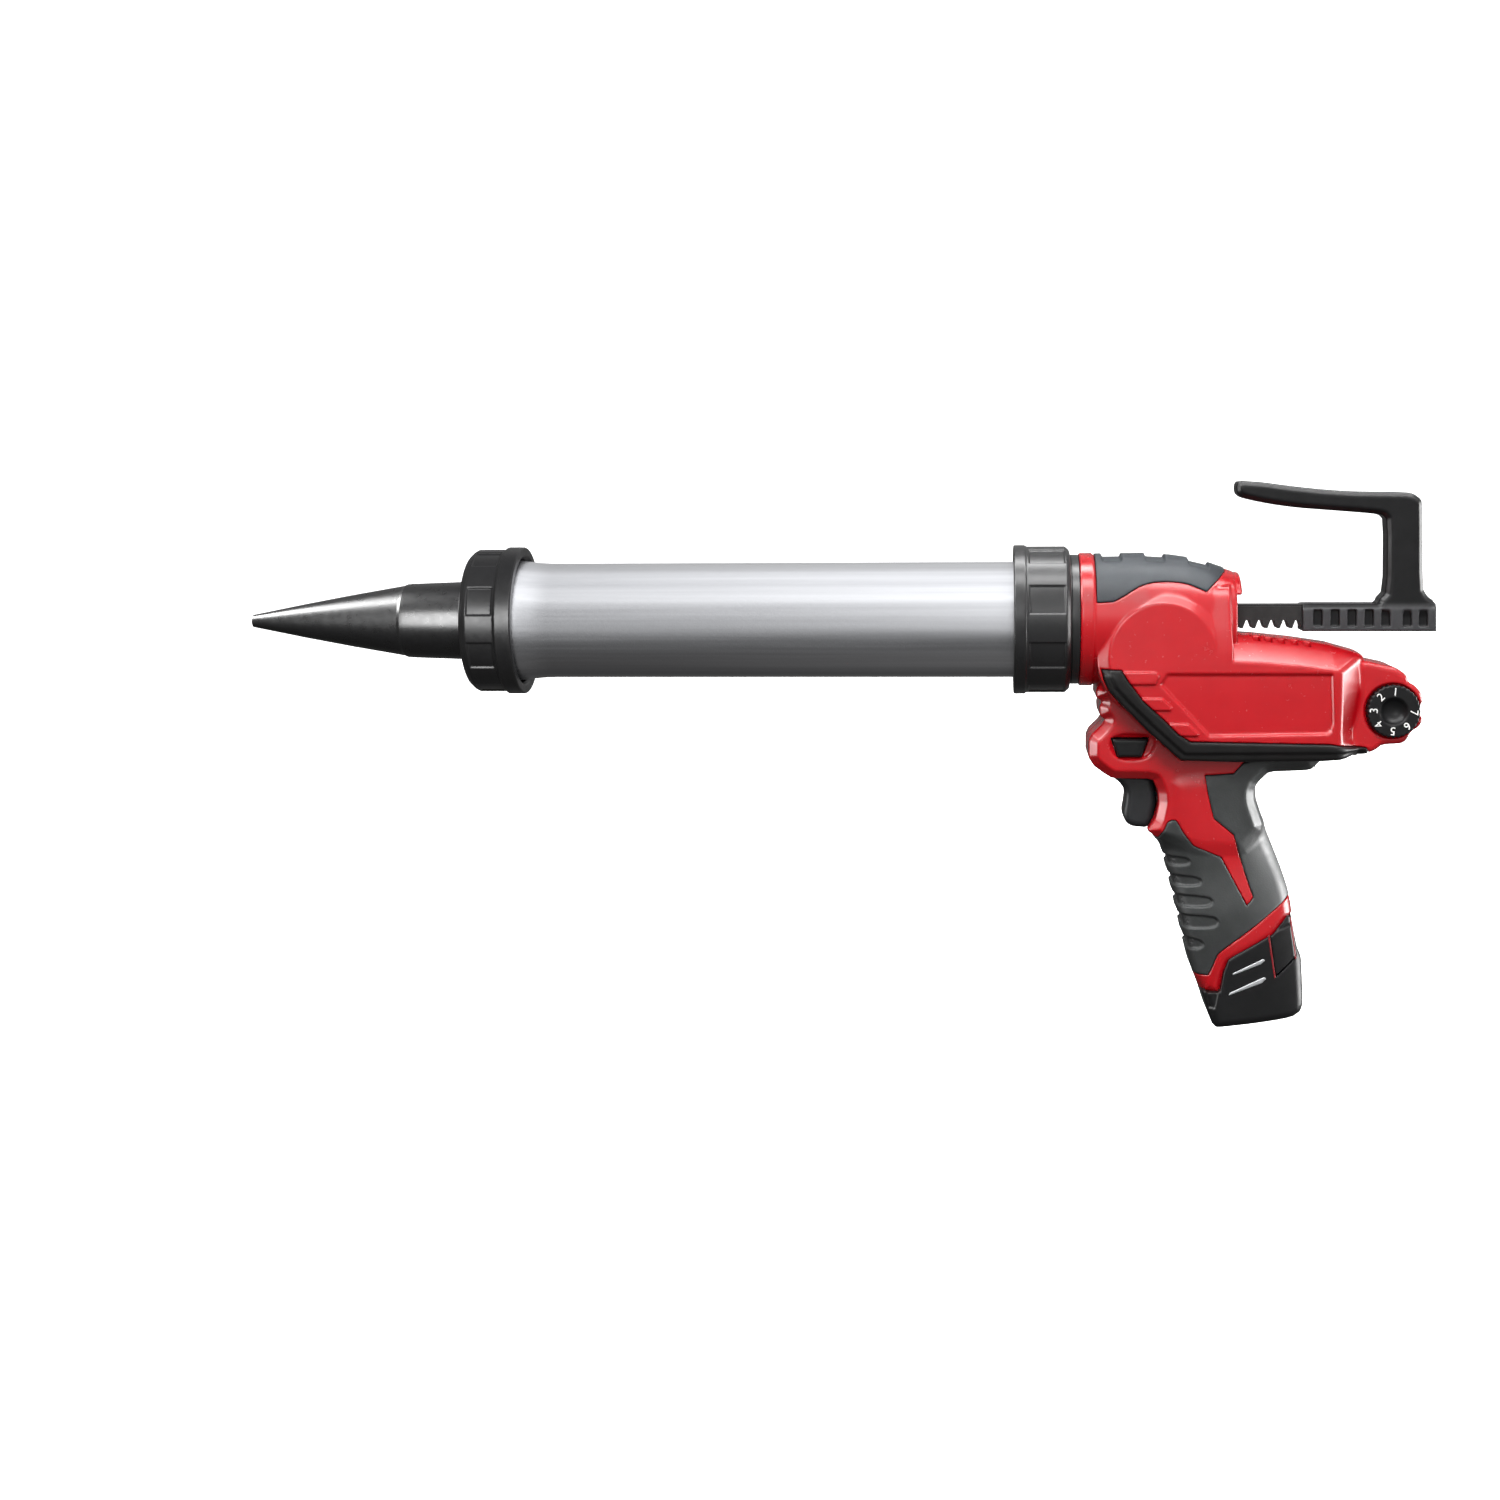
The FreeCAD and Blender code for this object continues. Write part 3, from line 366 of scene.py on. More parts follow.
def noise(nt, vec, scale, detail=3.0, rough=0.55, stretch=None):
    if stretch:
        mp = nt.nodes.new("ShaderNodeMapping")
        mp.inputs["Scale"].default_value = stretch
        nt.links.new(vec, mp.inputs["Vector"])
        vec = mp.outputs["Vector"]
    n = nt.nodes.new("ShaderNodeTexNoise")
    n.inputs["Scale"].default_value = scale
    n.inputs["Detail"].default_value = detail
    n.inputs["Roughness"].default_value = rough
    nt.links.new(vec, n.inputs["Vector"])
    return n.outputs["Fac"]


def rerange(nt, fac, lo, hi, a=0.3, b=0.7):
    m = nt.nodes.new("ShaderNodeMapRange")
    m.inputs["From Min"].default_value = a
    m.inputs["From Max"].default_value = b
    m.inputs["To Min"].default_value = lo
    m.inputs["To Max"].default_value = hi
    nt.links.new(fac, m.inputs["Value"])
    return m.outputs["Result"]


def two_tone(nt, fac, ca, cb, a=0.3, b=0.7):
    r = nt.nodes.new("ShaderNodeValToRGB")
    r.color_ramp.elements[0].position = a
    r.color_ramp.elements[1].position = b
    r.color_ramp.elements[0].color = (*ca, 1)
    r.color_ramp.elements[1].color = (*cb, 1)
    nt.links.new(fac, r.inputs["Fac"])
    return r.outputs["Color"]


def bumped(nt, b, height, strength, dist):
    n = nt.nodes.new("ShaderNodeBump")
    n.inputs["Strength"].default_value = strength
    n.inputs["Distance"].default_value = dist
    nt.links.new(height, n.inputs["Height"])
    nt.links.new(n.outputs["Normal"], b.inputs["Normal"])


def plastic(name, ca, cb, r0, r1, grain=2600.0, strength=0.12, dist=0.00008, spec=0.5, coat=0.0, tone=90.0, metal=0.0,
            coat_rough=0.25):
    m, nt, b, vec = new_mat(name)
    nt.links.new(two_tone(nt, noise(nt, vec, tone, 4.0), ca, cb), b.inputs["Base Color"])
    nt.links.new(rerange(nt, noise(nt, vec, tone * 3.1, 5.0, 0.65), r0, r1), b.inputs["Roughness"])
    bumped(nt, b, noise(nt, vec, grain, 2.0), strength, dist)
    b.inputs["Specular IOR Level"].default_value = spec
    b.inputs["Metallic"].default_value = metal
    b.inputs["Coat Weight"].default_value = coat
    b.inputs["Coat Roughness"].default_value = coat_rough
    return m


def lin(r, g, b):
    return tuple((c / 255 / 12.92) if c / 255 <= 0.04045 else ((c / 255 + 0.055) / 1.055) ** 2.4 for c in (r, g, b))


RED = plastic("red_moulding", lin(171, 7, 19), lin(178, 9, 21), 0.22, 0.28, grain=2400, strength=0.025, dist=0.00004, spec=0.5)
PAD = plastic("grey_overmould", lin(48, 51, 55), lin(54, 58, 62), 0.40, 0.50, grain=1900, strength=0.2, dist=0.0001, spec=0.24)
SOFT = plastic("black_overmould", lin(15, 14, 14), lin(20, 19, 19), 0.38, 0.48, grain=1700, strength=0.18, dist=0.0001, spec=0.24)
BLACK = plastic("black_moulding", lin(16, 16, 17), lin(21, 21, 22), 0.32, 0.42, grain=2300, strength=0.10, dist=0.00008, spec=0.26)
NOZZ = plastic("nozzle_moulding", lin(18, 18, 19), lin(24, 24, 25), 0.26, 0.34, grain=2600, strength=0.02, dist=0.00004, spec=0.7)
RINGS = plastic("ring_moulding", lin(24, 24, 25), lin(31, 31, 32), 0.28, 0.38, grain=2400, strength=0.10, dist=0.00007, spec=0.5)
TRIG = plastic("trigger_moulding", lin(28, 29, 31), lin(35, 36, 38), 0.36, 0.46, grain=2300, strength=0.12, dist=0.00008, spec=0.35)
INLAY = plastic("silver_inlay", lin(172, 174, 176), lin(190, 192, 194), 0.32, 0.42, metal=0.6)
WHITE = plastic("white_print", lin(232, 232, 230), lin(240, 240, 238), 0.42, 0.52)
STEEL = plastic("machined_steel", lin(150, 150, 152), lin(172, 172, 174), 0.28, 0.42, metal=1.0, tone=220)
ALU_T = plastic("turned_aluminium", lin(176, 176, 178), lin(196, 196, 198), 0.26, 0.38, metal=1.0, tone=260)
OXIDE = plastic("black_oxide", lin(34, 33, 33), lin(42, 41, 41), 0.36, 0.50, metal=0.3, tone=240, grain=1800, strength=0.2)
DARK_RED = plastic("dark_red_moulding", lin(122, 7, 20), lin(130, 9, 22), 0.28, 0.36, grain=2400, strength=0.03, dist=0.00005)
BRASS = plastic("bush_bronze", lin(170, 128, 62), lin(190, 148, 78), 0.34, 0.48, metal=1.0, tone=300)
BOARD = plastic("board_green", lin(22, 62, 40), lin(30, 76, 50), 0.40, 0.52, tone=300)
CELL = plastic("cell_sleeve", lin(52, 66, 92), lin(62, 76, 104), 0.30, 0.42, tone=60)
SEAL = plastic("seal_rubber", lin(24, 24, 25), lin(32, 32, 33), 0.55, 0.68, grain=1500, strength=0.2)


def grip_mat():
    """Fine leathery rubber: small cells over a soft mottled tone."""
    m, nt, b, vec = new_mat("grip_rubber")
    nt.links.new(two_tone(nt, noise(nt, vec, 60.0, 5.0), lin(40, 42, 42), lin(49, 51, 51)), b.inputs["Base Color"])
    nt.links.new(rerange(nt, noise(nt, vec, 240.0, 4.0), 0.42, 0.54), b.inputs["Roughness"])
    vo = nt.nodes.new("ShaderNodeTexVoronoi")
    vo.inputs["Scale"].default_value = 1250.0
    nt.links.new(vec, vo.inputs["Vector"])
    bumped(nt, b, vo.outputs["Distance"], 0.28, 0.0001)
    b.inputs["Specular IOR Level"].default_value = 0.45
    return m


GRIP = grip_mat()


def handle_mat():
    """Black moulding; the outer faces of the slide block are painted lighter grey, a painted highlight that leaves the
    sunk pockets dark.
    """
    m, nt, b, vec = new_mat("handle_moulding")
    # painted highlight mask: the outer faces below the block top, beyond the sunk pockets
    sp = nt.nodes.new("ShaderNodeSeparateXYZ")
    nt.links.new(vec, sp.inputs["Vector"])
    ab = nt.nodes.new("ShaderNodeMath")
    ab.operation = "ABSOLUTE"
    nt.links.new(sp.outputs["Y"], ab.inputs[0])
    out = rerange(nt, ab.outputs["Value"], 0.0, 1.0, 0.0078, 0.0087)
    low = rerange(nt, sp.outputs["Z"], 1.0, 0.0, 0.1985, 0.2005)
    mul = nt.nodes.new("ShaderNodeMath")
    mul.operation = "MULTIPLY"
    nt.links.new(out, mul.inputs[0])
    nt.links.new(low, mul.inputs[1])
    mix = nt.nodes.new("ShaderNodeMix")
    mix.data_type = "RGBA"
    nt.links.new(mul.outputs["Value"], mix.inputs["Factor"])
    mottle = noise(nt, vec, 90.0, 4.0)
    nt.links.new(two_tone(nt, mottle, lin(16, 16, 17), lin(21, 21, 22)), mix.inputs[6])
    # lighter grey: painted highlight on the block's outer faces
    nt.links.new(two_tone(nt, mottle, lin(52, 52, 54), lin(62, 62, 64)), mix.inputs[7])
    nt.links.new(mix.outputs[2], b.inputs["Base Color"])
    nt.links.new(rerange(nt, noise(nt, vec, 280.0, 5.0, 0.65), 0.32, 0.42), b.inputs["Roughness"])
    bumped(nt, b, noise(nt, vec, 2300.0, 2.0), 0.10, 0.00008)
    b.inputs["Specular IOR Level"].default_value = 0.26
    return m


HANDLE = handle_mat()


def tube_mat():
    """Drawn and anodised aluminium: long faint streaks along the barrel."""
    m, nt, b, vec = new_mat("drawn_aluminium")
    streak = noise(nt, vec, 260.0, 4.0, 0.6, stretch=(0.012, 1.0, 1.0))
    nt.links.new(two_tone(nt, streak, lin(154, 155, 158), lin(168, 169, 172)), b.inputs["Base Color"])
    nt.links.new(rerange(nt, noise(nt, vec, 700.0, 3.0, 0.6, stretch=(0.01, 1.0, 1.0)), 0.30, 0.40), b.inputs["Roughness"])
    bumped(nt, b, noise(nt, vec, 1400.0, 2.0, 0.5, stretch=(0.01, 1.0, 1.0)), 0.05, 0.00004)
    b.inputs["Metallic"].default_value = 1.0
    return m


TUBE = tube_mat()


def give(mat, *names):
    for n in names:
        me = NODES[n].data
        if not me.materials:
            me.materials.append(mat)
        for i in range(len(me.materials)):
            me.materials[i] = mat


# ------------------------------------------------------------------ moulded body: outlines
ZA = 192.0
CHIN = Poly(soft(PY([(1134, 676), (1103, 679), (1096, 688), (1095.5, 696.5), (1101.5, 700.5), (1098.8, 706), (1099.5, 715),
                     (1104.5, 718.5), (1100, 725), (1091, 733.5), (1088, 740), (1088, 756.5), (1093.5, 765), (1103, 772),
                     (1112, 777.5), (1152, 778), (1157, 790), (1157.8, 802), (1154.5, 817), (1146, 829), (1158, 837.5),
                     (1200, 850), (1240, 850), (1262, 826), (1253, 800), (1252.5, 790), (1256, 782), (1268, 770.5),
                     (1309, 769), (1319, 760), (1324, 740), (1322, 690), (1190, 670)], -12.0), 1, 0.12))
GRIPO = Poly(soft(PY([(1165, 800), (1153, 824), (1158.5, 838), (1163, 853), (1168, 872), (1173, 893), (1178, 914), (1183, 936),
                      (1188, 957), (1194, 976), (1199.5, 987), (1217.8, 987), (1221.5, 968), (1226, 956), (1233, 951.5),
                      (1252, 941), (1271, 931), (1290, 909.5), (1288.5, 898), (1284, 880), (1278, 862), (1271, 844), (1264, 827),
                      (1257, 812), (1252.5, 798), (1253, 785), (1220, 770), (1170, 775)], -3.0), 1, 0.12))
MOTOR = Poly(PY([(1118, 600), (1380, 600), (1368, 662), (1371, 690), (1371, 751), (1345, 757), (1320, 758.5), (1180, 759.5),
                 (1150, 733.5), (1123, 707), (1109, 691), (1102.5, 673), (1117, 671.5), (1127, 655)], -22.0))
POD = Poly(soft(PY([(1340, 664), (1365, 660.5), (1376, 663), (1395, 667), (1405, 674), (1408, 682), (1414, 685), (1420, 692),
                    (1422, 700), (1419.5, 704), (1419.5, 715), (1422, 719), (1418, 726), (1410, 731), (1405, 740), (1400, 743),
                    (1381, 744), (1375, 749), (1368, 752), (1340, 753)], -13.0), 1, 0.2))
BLOCK = Poly(PY([(1150, 586), (1232.5, 586), (1232.5, 690), (1150, 690)], -26.0))
ROOF_X, ROOF_Z = PY([(1100, 622), (1233, 630.5), (1250, 631.5), (1289, 635.5), (1323, 640.5), (1350, 648), (1360, 653), (1368, 661),
                     (1376, 675)], 6.0).T

M_PAD = Poly(PY([(1096, 470), (1096.6, 602.7), (1113, 602), (1119, 599), (1126.5, 595), (1132, 591.5), (1139, 587.4), (1146, 584.8),
                 (1154.6, 583), (1167, 582.3), (1175, 582.7), (1182.7, 583.6), (1189, 585), (1194, 586.8), (1207.5, 592.5),
                 (1229.9, 572.7), (1231, 470)], -26.0))
M_RAIL = Poly(PY([(1101, 669), (1121, 669.5), (1128, 681), (1143, 700.6), (1161.5, 717.5), (1177.6, 733.5), (1190, 741),
                  (1331, 744.5), (1347, 747.5), (1371, 751), (1378, 764), (1250, 764), (1179.5, 760), (1150, 733.5), (1123, 707),
                  (1109, 691), (1103.5, 679)], -28.0))
M_RAIL_TOP = Poly(PY([(1106, 655), (1135, 655), (1200, 730), (1385, 733), (1385, 752.8), (1184, 752.8), (1156.5, 728), (1130, 702.5),
                      (1115, 686), (1109, 673)], -28.0))
M_PANEL = Poly(PY([(1167, 674), (1332, 674.5), (1333.5, 724), (1331, 731), (1327, 734), (1209, 735.5), (1160.5, 684)], -28.5))
M_RIDGE = [Poly(PY(p, -29.0)) for p in (
    [(1114, 671.5), (1156, 672), (1158.5, 676), (1155, 684), (1122, 684)],
    [(1137, 697.5), (1161.5, 698), (1171, 706.5), (1170, 710), (1148, 709.5)],
    [(1161, 723), (1188, 723.5), (1198.5, 733.5), (1197, 735.5), (1173, 735)])]
M_RUBBER = Poly(PY([(1130, 838.5), (1158.5, 837.5), (1164, 829), (1167, 822), (1171, 819.4), (1175.7, 819.4), (1183, 832), (1193, 845),
                    (1220.7, 856.7), (1246, 904), (1252.5, 896.5), (1246, 877), (1239, 855), (1233, 834), (1213, 817.5), (1207, 792),
                    (1204.5, 774.5), (1233, 773), (1243, 762), (1262, 757.5), (1345, 757.5), (1345, 800), (1310, 890), (1289, 898.5),
                    (1262, 918.5), (1225.5, 945.5), (1217, 953), (1212, 966), (1208, 974.6), (1150, 977)], -17.0))
FINGERS = [Poly(soft(PY(p, -15.0), 2)) for p in (
    [(1150, 857), (1184, 856), (1191, 860.5), (1186, 865.5), (1150, 866)],
    [(1155, 876), (1195, 875), (1202.5, 880), (1197, 885.5), (1155, 886)],
    [(1160, 895.5), (1206, 894), (1213.5, 899.5), (1207, 905.5), (1160, 906)],
    [(1164, 915), (1211, 913), (1218.5, 919), (1212, 926.5), (1164, 927)],
    [(1170, 938), (1198, 937), (1204, 942.5), (1198, 948.5), (1170, 949)])]
LOCK = Poly(PY([(1112, 739), (1148.5, 739), (1141.6, 757), (1118, 757)], -20.0))
M_LOCKDISH = Poly(soft(PY([(1108, 734), (1155, 735), (1155.5, 745), (1147, 760), (1114, 760.5)], -19.5), 2))
DISC = (*at(1163.5, 657.5, -32.0), 29.7, 24.2)
SCREWS = [(120.8, 129.2), (239.6, 130.6), (157.0, 83.5), (183.6, 107.0), (127.4, 158.5)]
TILT = math.radians(16.0)
E1 = (math.sin(TILT), -math.cos(TILT))
E2 = (math.cos(TILT), math.sin(TILT))
A0 = (183.5, 59.4)
VENTS = [at(px, py, -15.0) for px, py in ((1256.7, 638), (1268.8, 639.5), (1281.5, 641), (1294.5, 643), (1307.5, 644.8))]


def along(x, z):
    """Down the handle, and towards its back."""
    s = (x - F(A0[0])) * F(E1[0]) + (z - F(A0[1])) * F(E1[1])
    u = (x - F(A0[0])) * F(E2[0]) + (z - F(A0[1])) * F(E2[1])
    return s, u


def slab(x, y, z, s0, s1, u0, u1, hy, r=0.0):
    s, u = along(x, z)
    return boxd(s, y, u, s0, s1, -hy, hy, u0, u1, r)


def barrel_radius(x):
    return np.interp(x, [112.0, 118.7, 119.4, 143.0, 155.0, 163.0, 172.0, 183.5, 190.0],
                     [31.0, 31.0, 30.3, 30.5, 29.7, 28.5, 26.3, 22.4, 19.5]).astype(F)


def flank(x, z):
    return F(32.2) - F(0.032) * np.maximum(x - F(150.0), 0) - F(0.05) * np.maximum(z - F(166.0), 0) - F(0.03) * np.maximum(F(160.0) - z, 0)


def tail_plane(x, ay, z):
    """The end face that turns in towards the dial, steeper low down."""
    w = np.interp(z, [128.0, 134.0, 138.0, 142.0, 150.0, 160.0, 168.0, 176.0],
                  [0.85, 0.78, 0.62, 0.60, 0.76, 0.94, 0.90, 0.80]).astype(F)
    return ((x - F(229.8)) + (ay - F(29.2)) * w) / np.sqrt(1 + w * w)


def grip_side(ay, x, z):
    s, u = along(x, z)
    flare = ramp(F(-8.0) - s, 26.0)
    crown = (F(0.0155) - F(0.0035) * flare) * np.maximum(np.abs(u + F(1.0)) - F(2.0), 0) ** 2
    return (ay - F(18.9) - F(2.6) * flare + crown) * F(0.93)


def shape(x, y, z):
    """Distance to the outside of the moulded body, before its small relief."""
    ay = np.abs(y)
    rr = np.hypot(y, z - F(ZA))
    barrel = rint((rr - barrel_radius(x)) * F(0.97), np.maximum(F(112.7) - x, x - F(184.2)), 0.9)
    rd = np.hypot(x - F(DISC[0]), z - F(DISC[1]))
    fl = flank(x, z)
    disc = rint(rint(ay - fl, (rd - F(DISC[3])) * F(0.62) + (ay - fl) * F(0.785), 0.35), rd - F(DISC[2]), 0.35)
    zt = np.interp(x, ROOF_X, ROOF_Z).astype(F)
    side = ay - fl
    facet = (ay - F(18.0)) * F(0.575) + (z - zt + F(2.6)) * F(0.818)
    roof = (z - zt + F(0.004) * ay * ay) * F(0.985)
    tail = tail_plane(x, ay, z)
    motor = rint(rint(rint(rint(MOTOR(x, z), side, 1.6), facet, 0.9), tail, 1.6), roof, 2.0)
    lean = (ay - fl) * F(0.955) + (z - F(184.0)) * F(0.296)
    block = rint(rint(rint(BLOCK(x, z), ay - fl, 1.2), lean, 2.0), (ay - F(20.0)) * F(0.707) + (z - F(207.6)) * F(0.707), 1.6)
    ch = CHIN(x, z)
    chin = rint(rint(ch, ay - F(19.4), 0.5), (ch + ay - F(19.4) + F(4.2)) * F(0.7071), 0.5)
    grip = rint(GRIPO(x, z), grip_side(ay, x, z), 5.5)
    pod = rint(POD(x, z), ay - F(17.2), 2.6)
    ring = rint(rint(rr - F(21.9), np.abs(x - F(183.8)) - F(2.9), 1.3), F(204.2) - z, 1.0)
    out = runi(barrel, np.minimum(np.minimum(disc, block), motor), 0.35)
    low = runi(chin, grip, 5.0)
    out = runi(out, low, 0.9)
    out = runi(out, pod, 1.4)
    return np.minimum(out, ring)


def relief(x, y, z):
    """Raised and sunk details of the moulding, in mm outwards."""
    ay = np.abs(y)
    wide = ramp(F(23.0) - ay, 2.0)
    o = -F(1.5) * ramp(M_PANEL(x, z), 1.9) * wide
    for m in M_RIDGE:
        o = o + F(1.2) * ramp(m(x, z), 0.7) * wide
    o = o - F(1.3) * ramp(M_LOCKDISH(x, z), 2.2) * ramp(F(14.0) - ay, 2.0)
    return o


def cavities(x, y, z, side):
    """What is open inside the body."""
    r = np.hypot(y, z - F(ZA))
    bore = np.where(x < 122.2, F(27.45), np.minimum(F(27.45), barrel_radius(x) - F(3.6)))
    c = np.maximum(r - bore, np.maximum(F(100.0) - x, x - F(178.0)))
    rm = np.hypot(y, z - F(156.0))
    c = np.minimum(c, np.maximum(rm - F(20.5), np.maximum(F(150.0) - x, x - F(184.3))))
    c = np.minimum(c, np.maximum(np.maximum(rm - F(18.75), tail_plane(x, np.abs(y), z) + F(1.6)), np.maximum(F(184.0) - x, x - F(241.2))))
    rd = np.hypot(x - F(150.0), z - F(177.0))
    c = np.minimum(c, np.maximum(rd - F(25.5), np.abs(y) - F(26.0)))
    c = np.minimum(c, boxd(x, y, z, 100, 156.5, -10.2, 10.2, 93.0, 120.5))
    c = np.minimum(c, boxd(x, y, z, 155, 179, -9.6, 9.6, 95.8, 119.2))
    c = np.minimum(c, boxd(x, y, z, 165, 222, -14, 14, 122.5, 137))
    c = np.minimum(c, LOCK(x, z) - F(0.45))
    c = np.minimum(c, boxd(x, y, z, 165, 200, -6.4, 6.4, 187.2, 199.9, 0.6))
    c = np.minimum(c, np.maximum(slab(x, y, z, -24.0, 80, -18.6, 18.6, 15.8), grip_side(np.abs(y), x, z) + F(2.5)))
    c = np.minimum(c, np.maximum(slab(x, y, z, -31.0, -23.0, -14.0, 14.0, 12.0), grip_side(np.abs(y), x, z) + F(2.5)))
    if side < 0:
        rl = np.hypot(x - F(255.0), z - F(151.0))
        c = np.minimum(c, np.maximum(rl - F(12.75), y + F(14.6)))
        c = np.minimum(c, np.maximum(rl - F(7.1), np.maximum(y + F(2.9), -F(15.5) - y)))
    else:
        for sx, sz in SCREWS:
            rs = np.hypot(x - F(sx), z - F(sz))
            c = np.minimum(c, np.maximum(rs - F(3.05), F(9.85) - y))
    for vx, vz in VENTS:
        zt = float(np.interp(vx, ROOF_X, ROOF_Z))
        c = np.minimum(c, boxd(x, np.abs(y), z, vx - 1.5, vx + 1.5, 11.5, 17.2, zt - 7.0, zt + 6.0, 0.7))
    return c


PAD_BANDS = ((118.0, 123.4), (132.0, 143.3), (151.9, 163.1), (172.2, 184.0))


def pad_relief(x, y, z):
    rr = np.hypot(y, z - F(ZA))
    top = ramp(F(0.93) - (z - F(ZA)) / np.maximum(rr, 1), 0.10)
    band = np.zeros_like(x)
    for a, b in PAD_BANDS:
        band = np.maximum(band, ramp(np.abs(x - F((a + b) / 2)) - F((b - a) / 2), 0.9))
    return (band * F(1.5) - F(1.0)) * top


def rail_relief(x, y, z):
    return F(0.55) + F(1.05) * ramp(M_RAIL_TOP(x, z), 1.6)


def rubber_relief(x, y, z):
    o = np.full_like(x, F(0.25))
    for m in FINGERS:
        d = m(x, z)
        o = o - F(1.25) * ramp(d, 0.8)
    return o


GAP = F(0.12)


def housing(side):
    def fn(x, y, z):
        s = shape(x, y, z)
        f = s - relief(x, y, z)
        for m, rise in ((M_PAD, 0.0), (M_RAIL, 0.0), (M_RUBBER, 0.0)):
            d = m(x, z) - GAP
            f = np.maximum(f, -np.maximum(d, -(s + F(2.2))))
        f = rsub(f, cavities(x, y, z, side), 0.35)
        return rint(f, y * F(-side) + F(0.04), 0.25)
    return fn


def skin(mask, rise, edge, side=0):
    """A soft piece let into the body over a masked area."""
    def fn(x, y, z):
        s = shape(x, y, z)
        f = rint(s - rise(x, y, z), mask(x, z) + GAP, edge)
        f = np.maximum(f, -(s + F(2.0)))
        f = rsub(f, cavities(x, y, z, side if side else -1), 0.2)
        if side:
            f = rint(f, y * F(-side) + F(0.04), 0.2)
        return f
    return fn


for s, nm in ((-1, "left"), (1, "right")):
    ylo, yhi = (-33.5, 1.5) if s < 0 else (-1.5, 33.5)
    moulded("housing_%s_shell" % nm, housing(s), (108, ylo, 52 - 36), (272, yhi, 226), "body", RED,
            ("housing_%s" % nm,))
    moulded("bumper_%s_rail" % nm, skin(M_RAIL, rail_relief, 1.2, s), (108, ylo, 118), (256, yhi, 180), "body", SOFT,
            ("bumper_%s" % nm,))
    moulded("grip_%s_skin" % nm, skin(M_RUBBER, rubber_relief, 0.6, s), (140, ylo + 10 if s < 0 else ylo, 16),
            (240, yhi if s < 0 else yhi - 10, 140), "body", GRIP, ("grip_rubber_%s" % nm,))
moulded("top_pad_skin", skin(M_PAD, pad_relief, 0.55), (112, -33.5, 192), (192, 33.5, 228), "body", PAD, ("top_pad",))

# ------------------------------------------------------------------ battery
BAT_OUT = Poly(soft(PY([(1176, 910), (1200, 988.5), (1209.5, 1018), (1212, 1022.5), (1216, 1025.2), (1250, 1021.5), (1291, 1015.5),
                        (1300, 1010.5), (1303, 1003), (1302.5, 975), (1302, 958), (1297.5, 947), (1289, 900), (1286, 880), (1230, 860)],
                       -14.0), 1, 0.15))
BAT_TOP = Poly(PY([(1170, 988.4), (1219.0, 988.4), (1222.6, 969.5), (1227.3, 957.3), (1234, 952.8), (1253, 942.4), (1272, 932.2),
                   (1291.5, 910.8), (1340, 860), (1340, 1060), (1170, 1060)], -16.0))
TAB = Poly(PY([(1268.2, 925), (1289.5, 906), (1296.5, 958), (1275.5, 975.5)], -20.0))
NOTCH = Poly(PY([(1206, 989), (1218.5, 989), (1214.5, 1008), (1209, 1007)], -20.0))


def battery_side(ay, u):
    return (ay - F(22.0) + F(0.012) * np.maximum(u - F(1.0), 0) ** 2) * F(0.94)


def battery(x, y, z):
    ay = np.abs(y)
    s, u = along(x, z)
    side = battery_side(ay, u)
    b = rint(rint(BAT_OUT(x, z), side, 4.2), BAT_TOP(x, z), 0.7)
    b = b + F(0.9) * ramp(NOTCH(x, z), 0.9) * ramp(F(15.0) - ay, 2.0)
    stem = rint(slab(x, y, z, -21.8, 45.0, -17.9, 17.9, 15.1, 2.5), grip_side(ay, x, z) + F(3.2), 1.5)
    b = runi(b, stem, 0.4)
    room = np.maximum(slab(x, y, z, -23.0, 31.2, -16.2, 12.4, 13.2), grip_side(ay, x, z) + F(5.2))
    b = np.maximum(b, -room)
    b = rsub(b, np.maximum(TAB(x, z) - F(0.55), F(-5.2) - battery_side(ay, u)), 0.3)
    return np.maximum(b, F(0.0) - z)


def stripe(p, y0):
    """A slim raised bar that tapers to one end, on both flanks."""
    m = Poly(PY(p, -22.0), res=0.15, pad=3.0)

    def fn(x, y, z):
        return rint(m(x, z), np.maximum(np.abs(y) - F(y0 + 0.35), F(y0 - 0.6) - np.abs(y)), 0.2)
    return fn


for nm, p in (("upper", [(1232.5, 975.4), (1233.5, 973.0), (1263, 959.2), (1265, 960.6), (1261, 964.2)]),
              ("lower", [(1228.5, 995.6), (1229.5, 993.0), (1264, 977.2), (1266.2, 978.8), (1262, 983.0)])):
    pt = PY(p, -22.0)
    moulded("battery_bar_" + nm, stripe(p, 21.9), (pt[:, 0].min() - 2, -24, pt[:, 1].min() - 2), (pt[:, 0].max() + 2, 24, pt[:, 1].max() + 2),
            "battery", INLAY, (), h=0.3)
moulded("battery_shell", battery, (156, -24, -3), (222, 24, 88), "battery", BLACK, ("battery_case",))


def latch(side):
    def fn(x, y, z):
        s, u = along(x, z)
        yy = y * F(side)
        face = battery_side(yy, u) - F(0.35)
        for k in range(4):
            face = face + F(0.55) * ramp(np.abs(s - F(-4.0 + 5.0 * k + 4.0)) - F(0.7), 0.8)
        return rint(rint(rint(TAB(x, z) + F(0.05), face, 0.8), -(battery_side(yy, u) + F(2.6)), 0.3), BAT_TOP(x, z) + F(0.25), 0.4)
    return fn


TRIM = [Poly(PY(p, -20.5), res=0.15, pad=3.0) for p in (
    [(1267.9, 936.5), (1269.7, 935.2), (1275.6, 977.0), (1274.0, 978.6)], [(1291.2, 921.5), (1292.9, 920.0), (1297.8, 960.0), (1296.2, 961.5)])]


def latch_well(x, y, z):
    s, u = along(x, z)
    d = battery_side(np.abs(y), u)
    return rint(np.minimum(TRIM[0](x, z), TRIM[1](x, z)), np.maximum(d - F(0.12), F(-2.0) - d), 0.1)


